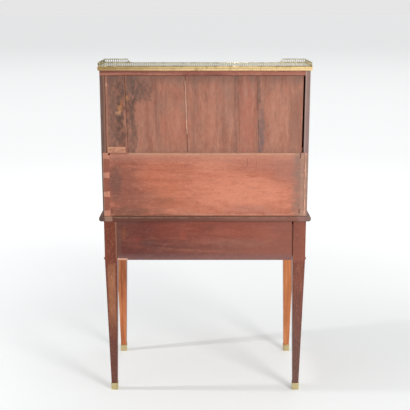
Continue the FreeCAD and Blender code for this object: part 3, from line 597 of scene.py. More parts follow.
def bed_back(finish, colour):
    """The grimy, chipped back edge of the bed board, pale along a line from wear and a painted highlight,
    greyed at its tips and darker along its foot as painted shade.
    """
    px, py, pz = finish.axes()
    rear = finish.smooth(py, BACK + 0.0005, BACK + 0.0025)
    chips = finish.noise(finish.place(), (30.0, 30.0, 110.0), 5.0, 0.65)
    level = pz + (chips - 0.5) * 0.006
    side = finish.smooth(px, -0.25, 0.20)
    dirt = finish.mix(side, srgb(134, 84, 69), srgb(98, 48, 30))
    upper = finish.smooth(level, BED_HIGH - 0.0060, BED_HIGH - 0.0020)
    dirt = finish.mix(upper * 0.6, dirt, srgb(98, 70, 54))
    # A pale line near the top: wear and a painted highlight.
    line = finish.strip(level, BED_HIGH - 0.0062, BED_HIGH - 0.0032, 0.0012)
    dirt = finish.mix(line * finish.smooth(chips, 0.40, 0.56) * 0.40, dirt, srgb(188, 146, 124))
    # Painted shade: darker along the foot of the edge.
    lower_shade = finish.fade(level, BED_LOW + 0.001, BED_LOW + 0.007)
    dirt = finish.mix(lower_shade * 0.5, dirt, srgb(102, 48, 32))
    corner = finish.strip(abs(px) + (chips - 0.5) * 0.02, *BED_CORNER, 0.004)
    dirt = finish.mix(corner * 0.7, dirt, finish.mix(side, srgb(148, 108, 100), srgb(172, 130, 108)))
    tip = finish.mix(side, srgb(124, 106, 97), srgb(84, 64, 56))
    dirt = finish.mix(finish.smooth(abs(px), *BED_TIP) * 0.75, dirt, tip)
    return finish.mix(rear, colour, dirt)


def apron_marks(finish, colour):
    """Red spots and grey bloom in the polish of the rear apron, greyer at its foot; painted shade darkens its
    +X side and reddens its top, painted light and sheen brighten its -X side.
    """
    px, _, pz = finish.axes()
    edge = finish.ragged((30.0, 30.0, 60.0), 0.5)
    colour = spotted(finish, colour, APRON_SPOTS, edge, 0.6)
    # Painted shade towards +X, then painted light and sheen towards -X.
    colour = finish.mix(finish.smooth(px + edge * 0.03, 0.02, 0.30) * 0.50, colour, srgb(90, 36, 24))
    colour = finish.mix(finish.fade(px + edge * 0.05, -0.25, 0.28) * 0.55, colour, srgb(164, 99, 80))
    bloom = finish.cloud((6.0, 6.0, 20.0), 0.46, 0.66, 5.0, 0.65)
    colour = finish.mix(bloom * 0.14, colour, srgb(150, 100, 86))
    # Painted shade: a red glow at the top of the apron, under the bed.
    top_shade = finish.smooth(pz, 0.590, 0.640) * finish.strip(px, -0.24, 0.20, 0.08)
    colour = finish.mix(top_shade * 0.28, colour, srgb(150, 52, 20))
    foot = finish.fade(pz + edge * 0.006, APRON_LOW + 0.004, APRON_LOW + 0.034)
    colour = finish.mix(foot * 0.6, colour, srgb(130, 94, 92))
    end = finish.fade(px + edge * 0.004, APRON_END + 0.010, APRON_END + 0.020)
    colour = finish.mix(end * 0.6, colour, srgb(150, 112, 98))
    torn = finish.fade(pz + edge * 0.002, APRON_LOW + 0.0050, APRON_LOW + 0.0085)
    torn = torn * finish.smooth(px + edge * 0.006, *TORN_FOOT)
    colour = finish.mix(torn * 0.95, colour, srgb(226, 172, 144))
    return flecked(finish, colour, (80.0, 80.0, 200.0), 0.08)


def front_leg_marks(finish, colour):
    """Front legs: a thin orange wash with brown runs on their bare faces, partly painted light, brighter on
    the -X leg as painted light, and paler towards the top.
    """
    _, _, pz = finish.axes()
    # The orange on the faces marked bare is partly bare wood and partly painted light.
    bare = finish.smooth(finish.attribute("bare", "Fac"), 0.45, 0.75)
    runs = finish.noise(finish.place(), (90.0, 90.0, 7.0), 4.0, 0.65)
    stops = [(0.30, srgb(160, 82, 42)), (0.50, srgb(198, 114, 65)), (0.68, srgb(218, 144, 93))]
    wash_and_light = finish.ramp(runs, stops)
    # Painted light: the wash brighter on the -X leg.
    wash_and_light = finish.mix((1.0 - finish.left_half()) * 0.35, wash_and_light, srgb(224, 142, 86))
    upper = finish.smooth(pz + (runs - 0.5) * 0.05, 0.400, 0.440)
    wash_and_light = finish.mix(upper * 0.7, wash_and_light, srgb(214, 136, 92))
    return finish.mix(bare, colour, wash_and_light)


def leg_marks(finish, colour):
    """Back legs: blotched and darker towards the floor, rubbed on one below its taper; painted light makes
    the -X leg paler, most above its taper, and painted shade makes the +X leg darker and redder.
    """
    px, py, pz = finish.axes()
    blotch = finish.noise(finish.place(), (60.0, 60.0, 16.0), 5.0, 0.7)
    colour = finish.mix(finish.smooth(blotch, 0.52, 0.66) * 0.40, colour, srgb(72, 34, 24))
    colour = finish.mix(finish.fade(blotch, 0.34, 0.46) * 0.35, colour, srgb(160, 92, 66))
    # Painted light and shade by side: the +X leg darker and redder, the -X leg paler, most above its taper.
    shade_side = finish.left_half()
    lit_side = 1.0 - shade_side
    colour = finish.mix(shade_side * 0.45, colour, srgb(114, 46, 18))
    post = finish.smooth(pz, 0.520, 0.535)
    colour = finish.mix(lit_side * (0.22 + post * 0.28), colour, srgb(160, 96, 77))
    # Darker towards the floor, and greyer on the -X leg as a painted sheen.
    low_tone = finish.mix(lit_side, srgb(102, 64, 50), srgb(102, 80, 75))
    colour = finish.mix(finish.fade(pz, 0.05, 0.60) * 0.60, colour, low_tone)
    # Painted shade: redder at the top of the posts, under the bed, more on the +X leg.
    colour = finish.mix(finish.smooth(pz, 0.59, 0.65) * (0.20 + shade_side * 0.40), colour, srgb(116, 46, 10))
    low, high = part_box("leg_back_right")
    middle_x, middle_y = ((low[i] + high[i]) / 2.0 for i in range(2))
    edge = finish.ragged((60.0, 60.0, 30.0), 0.5)
    across = finish.strip(px + edge * 0.003, middle_x - 0.014, middle_x + 0.014, 0.004)
    along = finish.smooth(pz + edge * 0.03, 0.20, 0.36) * finish.fade(pz + edge * 0.01, 0.505, 0.530)
    rear = finish.smooth(py, middle_y, middle_y + 0.006)
    rubbed = across * along * rear * (0.50 + finish.smooth(blotch, 0.38, 0.60) * 0.40)
    colour = finish.mix(rubbed, colour, srgb(170, 108, 72))
    # Painted highlight: a pale line down one arris of the +X post.
    arris_highlight = finish.strip(px, *LEG_ARRIS_HIGHLIGHT, 0.0010) * finish.smooth(pz, 0.52, 0.56)
    colour = finish.mix(arris_highlight * 0.7, colour, srgb(150, 106, 86))
    colour = flecked(finish, colour, (210.0, 210.0, 90.0), 0.22)
    chips = finish.cloud((190.0, 190.0, 120.0), 0.70, 0.74, 3.0)
    return finish.mix(chips * 0.6, colour, srgb(206, 160, 134))


def rail_marks(finish, colour):
    """The top rail of the back: purplish under the brass, with painted shade under the band on its +X half,
    darker along its foot, chipped here and there.
    """
    px, _, pz = finish.axes()
    edge = finish.ragged((40.0, 40.0, 90.0), 0.5)
    upper = finish.smooth(pz + edge * 0.004, RAIL_LOW + 0.007, RAIL_LOW + 0.012)
    colour = finish.mix(upper * 0.30, colour, srgb(138, 80, 78))
    # Painted shade under the brass band, on the +X half of the rail.
    end_shade = finish.smooth(px + edge * 0.05, 0.05, 0.25)
    colour = finish.mix(upper * end_shade * 0.55, colour, srgb(112, 62, 58))
    foot = finish.fade(pz + edge * 0.002, RAIL_LOW + 0.001, RAIL_LOW + 0.005)
    colour = finish.mix(foot * 0.55, colour, srgb(92, 52, 42))
    chips = finish.cloud((38.0, 38.0, 120.0), 0.68, 0.73)
    return finish.mix(chips * 0.6, colour, srgb(210, 160, 136))


def slip_marks(finish, colour):
    """Grime in clouds over the pale slip."""
    low_tone = finish.cloud((70.0, 70.0, 110.0), 0.48, 0.66, 5.0, 0.7)
    return finish.mix(low_tone * 0.55, colour, srgb(140, 96, 78))


# Metals, stone and leather

def brass(name, bright, tarnish_and_shade_tone, amount, shaded=0.0):
    """Old lacquered brass: bright on the rubbed faces, brown and greenish in clouds.

    Where shaded is above zero, painted shade makes it darker towards the +X side, in the tarnish tone.
    """
    finish = Finish(name)
    place = finish.place()
    px, _, _ = finish.axes()
    clouds = finish.noise(place, 42.0, 5.0, 0.65)
    fine = finish.noise(place, 420.0, 3.0, 0.6)
    spots = finish.cloud(170.0, 0.58, 0.70)
    aged_and_shaded = finish.smooth(clouds, 0.62 - amount * 0.4, 0.80 - amount * 0.2)
    # Painted shade: darker towards +X by the share shaded, on top of the real tarnish.
    aged_and_shaded = aged_and_shaded.math("MAXIMUM", finish.smooth(px + (clouds - 0.5) * 0.3, 0.0, 0.40) * shaded)
    colour = finish.mix(aged_and_shaded * 0.8, bright, tarnish_and_shade_tone)
    colour = finish.mix(spots * 0.45, colour, srgb(112, 92, 58))
    rough = 0.28 + aged_and_shaded * 0.22 + (fine - 0.5) * 0.18 + spots * 0.12
    bump = finish.bump(fine, 0.10, 0.0003)
    return finish.surface(Base_Color=colour, Metallic=1.0, Roughness=rough, Normal=bump)


def forged_iron(name):
    """Black hammered iron with rust in clouds."""
    finish = Finish(name)
    scale = finish.noise(finish.place(), 130.0, 5.0, 0.7)
    rust = finish.cloud(38.0, 0.54, 0.68, 5.0)
    colour = finish.mix(scale, srgb(46, 42, 40), srgb(84, 78, 74))
    colour = finish.mix(rust * 0.7, colour, srgb(104, 62, 40))
    metal = 0.85 - rust * 0.7
    rough = 0.55 + rust * 0.3
    bump = finish.bump(scale, 0.35, 0.0006)
    return finish.surface(Base_Color=colour, Metallic=metal, Roughness=rough, Normal=bump)


def veined_marble(name):
    """Pale marble with thin grey veins."""
    finish = Finish(name)
    place = finish.place()
    drift = finish.noise(place, 4.0, 5.0, 0.6)
    bent = finish.shift(finish.stretch(place, (5.0, 7.0, 7.0)), finish.join(drift * 1.4, drift * 1.1, drift))
    vein = abs(finish.noise(bent, 1.0, 6.0, 0.62) - 0.5)
    line = finish.fade(vein, 0.0, 0.028) * (0.25 + finish.cloud(3.0, 0.40, 0.62, 3.0) * 0.75)
    clouds = finish.noise(place, 9.0, 5.0, 0.6)
    colour = finish.mix(clouds, srgb(224, 224, 218), srgb(244, 244, 238))
    colour = finish.mix(line * 0.50, colour, srgb(150, 152, 153))
    bump = finish.bump(clouds, 0.05, 0.0004)
    return finish.surface(Base_Color=colour, Roughness=0.30 + clouds * 0.12, Normal=bump)


def tooled_leather(name, low, high):
    """Dark green writing leather with gilt lines inside its edge; low and high are its corners."""
    finish = Finish(name)
    place = finish.place()
    px, py, _ = finish.axes()
    cells = finish.node("ShaderNodeTexVoronoi", inputs={"Vector": place, "Scale": 900.0})
    rub = finish.noise(place, 14.0, 5.0, 0.6)
    colour = finish.mix(finish.smooth(rub, 0.45, 0.75) * 0.6, srgb(38, 62, 44), srgb(78, 96, 66))
    inset_x, inset_y = (
        (high[i] - low[i]) / 2.0 - abs(at - (low[i] + high[i]) / 2.0) for i, at in enumerate((px, py)))
    inset = inset_x.math("MINIMUM", inset_y)
    beads = finish.smooth(((px + py) * 420.0).math("SINE"), 0.0, 0.5)
    gilt = finish.strip(inset, 0.0150, 0.0175, 0.0003)
    gilt = gilt.math("MAXIMUM", finish.strip(inset, 0.0200, 0.0245, 0.0003) * beads)
    gilt = gilt.math("MAXIMUM", finish.strip(inset, 0.0270, 0.0280, 0.0002))
    gilt = gilt * finish.cloud(130.0, 0.36, 0.46, 3.0)
    colour = finish.mix(gilt, colour, srgb(206, 168, 92))
    rough = 0.52 - gilt * 0.22 + (rub - 0.5) * 0.2
    bump = finish.bump(cells * 0.8 - gilt * 0.5, 0.2, 0.0005)
    return finish.surface(Base_Color=colour, Metallic=gilt * 0.9, Roughness=rough, Normal=bump)


# Meshes

def mesh_of(shape, name):
    mesh = bpy.data.meshes.new(name)
    shape.to_mesh(mesh)
    shape.free()
    return mesh


def new_piece(name, shape, finish, body):
    """An object at the origin, with its place in its mesh, that rides on a body."""
    mesh = mesh_of(shape, name)
    mesh.materials.append(finish)
    piece = bpy.data.objects.new(name, mesh)
    bpy.context.scene.collection.objects.link(piece)
    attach(piece, body)
    return piece


def stand_in(node, end, shape, finish):
    """A piece in place of a CAD node, riding on the node's own body."""
    record = frame["record"]
    body = next(body for body, nodes in record["behaviour"]["bodies"].items() if node in nodes)
    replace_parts(new_piece(f"{node}_{end}", shape, finish, body), node)


def face_outwards(shape):
    bmesh.ops.recalc_face_normals(shape, faces=shape.faces)


def join_rings(shape, rings, smooth=False):
    """Walls between rings of vertices; a ring of one vertex closes to a point."""
    count = max(len(ring) for ring in rings)
    for low, high in zip(rings, rings[1:]):
        for i in range(count):
            j = (i + 1) % count
            corners = [low[i % len(low)], low[j % len(low)], high[j % len(high)], high[i % len(high)]]
            shape.faces.new(dict.fromkeys(corners)).smooth = smooth


def islands(shape):
    """The separate boards of a mesh, as lists of vertices."""
    left = set(shape.verts)
    while left:
        first = next(v for v in shape.verts if v in left)
        left.discard(first)
        board, edge = [first], [first]
        while edge:
            vertex = edge.pop()
            for link in vertex.link_edges:
                other = link.other_vert(vertex)
                if other in left:
                    left.discard(other)
                    board.append(other)
                    edge.append(other)
        yield board


def corners_of(board):
    """The lowest and the highest corner of a list of vertices."""
    return [[pick(v.co[i] for v in board) for i in range(3)] for pick in (min, max)]


def lay_grain(shape, order=None):
    """Store where each point lies along, across and through its own board."""
    layer = shape.verts.layers.float_vector.new("grain")
    for board in islands(shape):
        low, high = corners_of(board)
        axes = order or sorted(range(3), key=lambda i: low[i] - high[i])
        cut_from = Vector((random.uniform(0, 4), random.uniform(0, 4), random.uniform(0, 4)))
        for vertex in board:
            vertex[layer] = Vector([vertex.co[i] for i in axes]) + cut_from


def soften(shape, edge):
    """Round the sharp edges a little and mark the rounded strips as worn."""
    layer = shape.faces.layers.float.new("worn")
    sharp = [e for e in shape.edges if e.is_manifold and e.calc_face_angle(0.0) > SHARP]
    made = bmesh.ops.bevel(
        shape, geom=sharp, offset=edge, segments=2, profile=0.6, affect="EDGES", clamp_overlap=True)
    for face in made["faces"]:
        face[layer] = 1.0
        face.smooth = True


def mark_lit_bare_faces(shape):
    """Mark the faces that look to the back and, on the -X side, to the middle of the desk; the front legs
    paint these orange, as bare wood and as painted light.
    """
    layer = shape.faces.layers.float.new("bare")
    right_hand = next(iter(shape.verts)).co.x < 0
    for face in shape.faces:
        face[layer] = max(face.normal.y, face.normal.x if right_hand else 0.0)


def cad_copy(node):
    """A merged copy of a CAD node's mesh, with its flat faces joined up."""
    shape = bmesh.new()
    shape.from_mesh(frame["nodes"][node].data)
    bmesh.ops.remove_doubles(shape, verts=shape.verts, dist=2e-6)
    bmesh.ops.dissolve_limit(shape, angle_limit=math.radians(0.6), verts=shape.verts, edges=shape.edges)
    return shape


def worn_piece(node, finish, edge=EDGE, order=None):
    """A CAD node with softened edges and a grain of its own, standing for the node."""
    shape = cad_copy(node)
    soften(shape, edge)
    lay_grain(shape, order)
    mark_lit_bare_faces(shape)
    stand_in(node, "dressed", shape, finish)


def repaint(node, finish):
    """Give a CAD node that keeps its shape a better finish."""
    materials = frame["nodes"][node].data.materials
    materials.clear()
    materials.append(finish)


def turn(shape, foot, profile):
    """Spin a (radius, out) profile about the line that runs forward from foot."""
    rings = []
    for radius, out in profile:
        count = TURN_STEPS if radius > 0 else 1
        angles = [2 * math.pi * i / TURN_STEPS for i in range(count)]
        places = [foot + Vector((radius * math.cos(a), -out, radius * math.sin(a))) for a in angles]
        rings.append([shape.verts.new(place) for place in places])
    join_rings(shape, rings, True)


def add_knob(shape, board):
    """Turn a knob in the box of a CAD knob."""
    low, high = corners_of(board)
    radius = (high[0] - low[0]) / 2.0
    reach = high[1] - low[1]
    foot = Vector(((low[0] + high[0]) / 2.0, high[1], (low[2] + high[2]) / 2.0))
    turn(shape, foot, [(radius * r, reach * out) for r, out in KNOB_PROFILE])


def turned_knobs(node, finish):
    """Knobs turned on a lathe, with a rosette, a waist and a rounded head, in place of the CAD ones."""
    shape = bmesh.new()
    plain = cad_copy(node)
    for board in islands(plain):
        add_knob(shape, board)
    plain.free()
    face_outwards(shape)
    stand_in(node, "turned", shape, finish)


def nest_drawer_pieces(node, finish):
    """A small drawer: its boards with worn edges, and its wooden knob turned anew."""
    shape = cad_copy(node)
    knob = min(islands(shape), key=lambda board: min(v.co.y for v in board))
    turned = bmesh.new()
    add_knob(turned, knob)
    bmesh.ops.delete(shape, geom=knob, context="VERTS")
    soften(shape, FINE_EDGE)
    face_outwards(turned)
    for part, end in ((shape, "boards"), (turned, "knob")):
        lay_grain(part)
        stand_in(node, end, part, finish)


# Pierced gallery

def pierced_unit(pitch, rise):
    """One round-arched opening with half a bar on each side, open at its two ends to meet its neighbours."""
    half = pitch * OPENING_SHARE / 2.0
    side = pitch / 2.0
    top = rise - GALLERY_RAIL_HIGH * 0.6
    spring = top - half - ARCH_WEB
    angles = [math.pi * i / ARCH_STEPS for i in range(ARCH_STEPS + 1)]
    arch = [(-half * math.cos(a), spring + half * math.sin(a)) for a in angles]
    levels = [0.0, OPENING_LOW, spring, top]
    quads = [((-half, 0.0), (half, 0.0), (half, OPENING_LOW), (-half, OPENING_LOW))]
    for low, high in zip(levels, levels[1:]):
        quads.append(((-side, low), (-half, low), (-half, high), (-side, high)))
        quads.append(((half, low), (side, low), (side, high), (half, high)))
    for (x0, z0), (x1, z1) in zip(arch, arch[1:]):
        quads.append(((x0, z0), (x1, z1), (x1, top), (x0, top)))
    opening = [(-half, OPENING_LOW), (half, OPENING_LOW)] + arch[::-1]
    rims = list(zip(opening, opening[1:] + opening[:1]))
    rims += [((x0, top), (x1, top)) for (x0, _), (x1, _) in zip(arch, arch[1:])]
    for z in (0.0, top):
        rims += [((-side, z), (-half, z)), ((half, z), (side, z))]
    rims.append(((-half, 0.0), (half, 0.0)))
    shape = bmesh.new()
    depth = GALLERY_SHEET / 2.0
    for quad in quads:
        for y in (-depth, depth):
            shape.faces.new([shape.verts.new((x, y, z)) for x, z in quad])
    for (x0, z0), (x1, z1) in rims:
        corners = ((x0, -depth, z0), (x1, -depth, z1), (x1, depth, z1), (x0, depth, z0))
        shape.faces.new([shape.verts.new(corner) for corner in corners])
    bmesh.ops.remove_doubles(shape, verts=shape.verts, dist=1e-6)
    face_outwards(shape)
    return mesh_of(shape, "gallery_unit")


def run_tree():
    """Geometry nodes that set one unit after another along X and join them."""
    group = bpy.data.node_groups.new("pierced_run", "GeometryNodeTree")
    sockets = {"Unit": "NodeSocketObject", "Count": "NodeSocketInt", "Pitch": "NodeSocketFloat",
               "Metal": "NodeSocketMaterial"}
    for name, kind in sockets.items():
        group.interface.new_socket(name, in_out="INPUT", socket_type=kind)
    group.interface.new_socket("Geometry", in_out="OUTPUT", socket_type="NodeSocketGeometry")
    tree = Tree(group)
    given = {name: tree.node("NodeGroupInput", output=name) for name in sockets}
    step = tree.node("ShaderNodeCombineXYZ", inputs={0: given["Pitch"]})
    line = tree.node("GeometryNodeMeshLine", {"mode": "OFFSET"}, {"Count": given["Count"], "Offset": step})
    unit = tree.node("GeometryNodeObjectInfo", inputs={"Object": given["Unit"]}, output="Geometry")
    many = tree.node("GeometryNodeInstanceOnPoints", inputs={"Points": line, "Instance": unit})
    solid = tree.node("GeometryNodeRealizeInstances", inputs={"Geometry": many})
    joined = tree.node("GeometryNodeMergeByDistance", inputs={"Geometry": solid, "Distance": 2e-5})
    done = tree.node("GeometryNodeSetMaterial", inputs={"Geometry": joined, "Material": given["Metal"]})
    tree.node("NodeGroupOutput", inputs={"Geometry": done})
    return group


def pierced_run(group, length, rise, finish):
    """The openings of one run of gallery along +X from the origin, as a closed mesh."""
    count = round(length / GALLERY_PITCH)
    pitch = length / count
    unit = bpy.data.objects.new("gallery_unit", pierced_unit(pitch, rise))
    carrier = bpy.data.objects.new("gallery_carrier", bpy.data.meshes.new("gallery_carrier"))
    for part in (unit, carrier):
        bpy.context.scene.collection.objects.link(part)
    run = carrier.modifiers.new("run", "NODES")
    run.node_group = group
    values = {"Unit": unit, "Count": count, "Pitch": pitch, "Metal": finish}
    for socket in group.interface.items_tree:
        if socket.in_out == "INPUT":
            run[socket.identifier] = values[socket.name]
    seen = carrier.evaluated_get(bpy.context.evaluated_depsgraph_get())
    mesh = bpy.data.meshes.new_from_object(seen)
    carrier.modifiers.clear()
    for part in (unit, carrier):
        bpy.data.objects.remove(part)
    shape = bmesh.new()
    shape.from_mesh(mesh)
    bmesh.ops.translate(shape, verts=shape.verts, vec=(pitch / 2.0, 0.0, 0.0))
    bmesh.ops.holes_fill(shape, edges=[e for e in shape.edges if e.is_boundary])
    return shape


def bar(shape, profile, start, end):
    """A straight bar along +X: a closed (across, up) profile with capped ends."""
    ends = [[shape.verts.new((x, across, up)) for across, up in profile] for x in (start, end)]
    join_rings(shape, ends[::-1], True)
    shape.faces.new(ends[0])
    shape.faces.new(ends[1][::-1])


def rail_profile(rise):
    """A flattened round for the gallery's top rail."""
    middle = rise - GALLERY_RAIL_HIGH / 2.0
    angles = [2 * math.pi * i / RAIL_SIDES for i in range(RAIL_SIDES)]
    half_wide, half_high = GALLERY_RAIL_WIDE / 2.0, GALLERY_RAIL_HIGH / 2.0
    return [(half_wide * math.cos(a), middle + half_high * math.sin(a)) for a in angles]


def foot_profile():
    """A small stepped fillet at the foot of the gallery."""
    wide = GALLERY_RAIL_WIDE / 2.0
    right = [(wide, 0.0), (wide, FOOT_HIGH * 0.5), (wide * 0.7, FOOT_HIGH * 0.8), (wide * 0.55, FOOT_HIGH)]
    return [(-wide, 0.0)] + right + [(-across, up) for across, up in right[:0:-1]]


def swept_end(shape, start, rise):
    """The hollow curve that brings a return down to its foot."""
    depth = GALLERY_SHEET / 2.0
    fall = rise - FOOT_HIGH
    angles = [math.pi / 2 * i / SWEEP_STEPS for i in range(SWEEP_STEPS + 1)]
    line = [(start + GALLERY_SWEEP * (1.0 - math.cos(a)), rise - fall * math.sin(a)) for a in angles]
    outline = [(start, 0.0), (start + GALLERY_SWEEP, 0.0)] + line[::-1]
    sides = [[shape.verts.new((x, y, z)) for x, z in outline] for y in (-depth, depth)]
    join_rings(shape, sides[::-1])
    shape.faces.new(sides[0])
    shape.faces.new(sides[1][::-1])


def gallery_piece(node, group, finish, rise, runs):
    """All runs of one gallery node, each a place, a turn about Z, a length and whether its end is swept."""
    whole = bmesh.new()
    for place, degrees, length, swept in runs:
        clear = length - (GALLERY_SWEEP if swept else 0.0)
        shape = pierced_run(group, clear, rise, finish)
        for profile in (rail_profile(rise), foot_profile()):
            bar(shape, profile, 0.0, clear)
        if swept:
            swept_end(shape, clear, rise)
        shape.transform(Matrix.Translation(place) @ Matrix.Rotation(math.radians(degrees), 4, "Z"))
        face_outwards(shape)
        run = mesh_of(shape, "gallery_run")
        whole.from_mesh(run)
        bpy.data.meshes.remove(run)
    stand_in(node, "pierced", whole, finish)


def pierced_gallery(finish):
    """The gallery's back, its two sides and its two short returns at the front."""
    group = run_tree()
    (x0, y0, z0), (x1, y1, z1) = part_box("gallery_back")
    rise = z1 - z0
    gallery_piece("gallery_back", group, finish, rise, [((x0, (y0 + y1) / 2.0, z0), 0, x1 - x0, False)])
    (x0, y0, z0), (x1, y1, _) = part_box("gallery_sides")
    off = GALLERY_RAIL_WIDE / 2.0
    sides = [((x, y0, z0), 90, y1 - y0, False) for x in (x0 + off, x1 - off)]
    gallery_piece("gallery_sides", group, finish, rise, sides)
    (x0, y0, z0), (x1, y1, _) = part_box("gallery_returns")
    middle = (y0 + y1) / 2.0
    returns = [((x, middle, z0), degrees, GALLERY_RETURN, True) for x, degrees in ((x0, 0), (x1, 180))]
    gallery_piece("gallery_returns", group, finish, rise, returns)


def moulded_band(finish):
    """The band round the marble as one mitred moulding: a quarter round, a flat and a bead above it."""
    (x0, y0, z0), (x1, y1, z1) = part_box("marble_band")
    shape = bmesh.new()
    rings = []
    for inward, up in BAND_PROFILE:
        d, z = BAND_THICK * inward, z0 + (z1 - z0) * up
        corners = ((x0 + d, y0 + d), (x1 - d, y0 + d), (x1 - d, y1 - d), (x0 + d, y1 - d))
        rings.append([shape.verts.new((x, y, z)) for x, y in corners])
    join_rings(shape, rings + rings[:1], True)
    face_outwards(shape)
    for edge in shape.edges:
        edge.smooth = edge.calc_face_angle(0.0) < SHARP
    stand_in("marble_band", "moulded", shape, finish)


# Repairs and accidents of the back

def repair_slip():
    """A later slip of pale wood nailed over the broken foot of the narrow plank, with two nail heads."""
    shape = bmesh.new()
    low = Vector((SLIP_LOW[0], PLANK_FACE, SLIP_LOW[1]))
    high = Vector((SLIP_HIGH[0], BACK, SLIP_HIGH[1]))
    middle = (low + high) / 2
    size = high - low - Vector((0.0, SLIP_PLAY, 0.0))
    for vertex in bmesh.ops.create_cube(shape, size=1.0)["verts"]:
        vertex.co = vertex.co * size + middle
    long_edges = [e for e in shape.edges if abs((e.verts[0].co - e.verts[1].co).x) > 0.01]
    bmesh.ops.subdivide_edges(shape, edges=long_edges, cuts=SLIP_CUTS)
    for vertex in shape.verts:
        vertex.co.z += random.uniform(-SLIP_WAVE, SLIP_WAVE)
    soften(shape, FINE_EDGE)
    lay_grain(shape, (0, 2, 1))
    new_piece("repair_slip", shape, dry("slip_wood", SLIP, marks=slip_marks), "desk")
    nails = bmesh.new()
    for x in NAILS_AT:
        turn(nails, Vector((x, BACK - NAIL_SUNK, middle.z)), NAIL_PROFILE)
    face_outwards(nails)
    new_piece("repair_nails", nails, forged_iron("nail_iron"), "desk")


def seam_sliver():
    """A pale splinter of raw wood that stands in the sprung seam between two planks."""
    shape = bmesh.new()
    inner = PLANK_FACE - SLIVER_DEEP
    rings = []
    for i in range(SLIVER_STEPS + 1):
        along = i / SLIVER_STEPS
        z = SLIVER_FOOT + (SLIVER_TOP - SLIVER_FOOT) * along
        x = SPRUNG_SEAM + (z - BOARD_HIGH) * SPRUNG_LEAN + random.uniform(-0.0005, 0.0005)
        half = 0.0002
        if 0 < i < SLIVER_STEPS:
            half = random.uniform(0.0005, 0.0014) * (1.5 - 0.9 * along)
        face = PLANK_FACE + random.uniform(0.0001, 0.0006)
        corners = ((x - half, inner), (x + half, inner), (x + half * 0.8, face), (x - half * 0.8, face))
        rings.append([shape.verts.new((cx, cy, z)) for cx, cy in corners])
    join_rings(shape, rings)
    shape.faces.new(rings[0][::-1])
    shape.faces.new(rings[-1])
    face_outwards(shape)
    lay_grain(shape, (2, 0, 1))
    new_piece("seam_sliver", shape, dry("sliver_wood", SLIVER), "desk")


# Dressing the desk

def dress_back():
    """Planks, dovetailed board, top rail, cheeks, cabinet sides, repair slip and splinter."""
    worn_piece("back_planks", dry("planks", PLANK, marks=plank_marks), ROUND_EDGE, (2, 0, 1))
    worn_piece("lower_back_board", dry("lower_board", LOWER, stripe=60.0, marks=lower_marks), BOARD_EDGE)
    worn_piece("back_top_rail", dry("top_rail", TOP_RAIL, marks=rail_marks))
    cheek = polished("cheek", MAHOGANY, marks=cheek_back)
    side = polished("cabinet_side", MAHOGANY, marks=cabinet_edge)
    for hand in ("left", "right"):
        worn_piece(f"cylinder_case_side_{hand}", cheek, order=(2, 1, 0))
        worn_piece(f"cabinet_side_{hand}", side)
    repair_slip()
    seam_sliver()


def dress_frame():
    """Legs, aprons, bed, rails, drawer boards and toe caps."""
    back_leg = polished("back_leg", BACK_LEG, roughness=0.42, marks=leg_marks)
    front_leg = polished("front_leg", MAHOGANY, roughness=0.36, marks=front_leg_marks)
    frame_wood = polished("frame_wood", MAHOGANY)
    for hand in ("left", "right"):
        worn_piece(f"leg_back_{hand}", back_leg)
        worn_piece(f"leg_front_{hand}", front_leg)
        worn_piece(f"side_apron_{hand}", frame_wood)
    worn_piece("rear_apron", polished("rear_apron", APRON, roughness=0.40, marks=apron_marks))
    worn_piece("desk_bed", polished("bed", MAHOGANY, marks=bed_back), THIN_EDGE)
    worn_piece("front_rails", frame_wood)
    worn_piece("frieze_bead", frame_wood, HAIR_EDGE)
    oak = dry("oak", OAK)
    for node in ("drawer_runners", "slide_guides", "drawer_sides", "drawer_back", "drawer_bottom"):
        worn_piece(node, oak, THIN_EDGE)
    worn_piece("leg_sabots", brass("sabot_brass", srgb(214, 197, 150), srgb(170, 149, 102), 0.4), FINE_EDGE)


def dress_front():
    """Cylinder, slide, drawer front, nest, doors, cabinet boards and their fittings."""
    flame = polished("flame_veneer", FLAME, figure=9.0, roughness=0.24, coat=0.5, stripe=26.0)
    plain = polished("front_wood", MAHOGANY, roughness=0.28, coat=0.45)
    nest = polished("nest_wood", NEST, roughness=0.4)
    inside = dry("inside_pine", PINE)
    for node in ("cylinder_shell", "drawer_front", "door_left_panel", "door_right_panel"):
        worn_piece(node, flame)
    door_frames = ("door_left_frame", "door_right_frame")
    for node in ("cylinder_lock_rail", "writing_slide", *door_frames, "cabinet_floor"):
        worn_piece(node, plain)
    for node in ("nest_shelves", "nest_uprights"):
        worn_piece(node, nest, FINE_EDGE)
    for place in ("left", "centre", "right"):
        nest_drawer_pieces(f"nest_drawer_{place}", nest)
    for node in ("nest_back", "cabinet_top_board"):
        worn_piece(node, inside)
    fittings = brass("fittings_brass", srgb(214, 178, 106), srgb(140, 104, 54), 0.45)
    plates = ("drawer_escutcheon", "door_escutcheon", "cylinder_escutcheon")
    for node in (*plates, "door_left_bead", "door_right_bead"):
        worn_piece(node, fittings, HAIR_EDGE)
    for node in ("drawer_knobs", "cylinder_knobs", "slide_knobs"):
        turned_knobs(node, fittings)
    for node in ("pivot_bushes", "door_left_pivots", "door_right_pivots"):
        repaint(node, fittings)
    repaint("cylinder_arms", forged_iron("forged_iron"))
    leather = tooled_leather("writing_leather", *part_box("writing_leather"))
    worn_piece("writing_leather", leather, HAIR_EDGE)


def dress_top():
    """Marble slab, moulded band and pierced gallery."""
    worn_piece("marble_top", veined_marble("marble"), ROUND_EDGE)
    # The band's bright tone is raised towards white as a painted reflection on its -X end; band and gallery
    # are painted darker towards +X as shade.
    moulded_band(brass("band_brass", srgb(244, 214, 158), srgb(142, 108, 62), 0.3, 0.9))
    pierced_gallery(brass("gallery_brass", srgb(220, 207, 168), srgb(122, 114, 88), 0.55, 0.8))


# Stage, light and camera

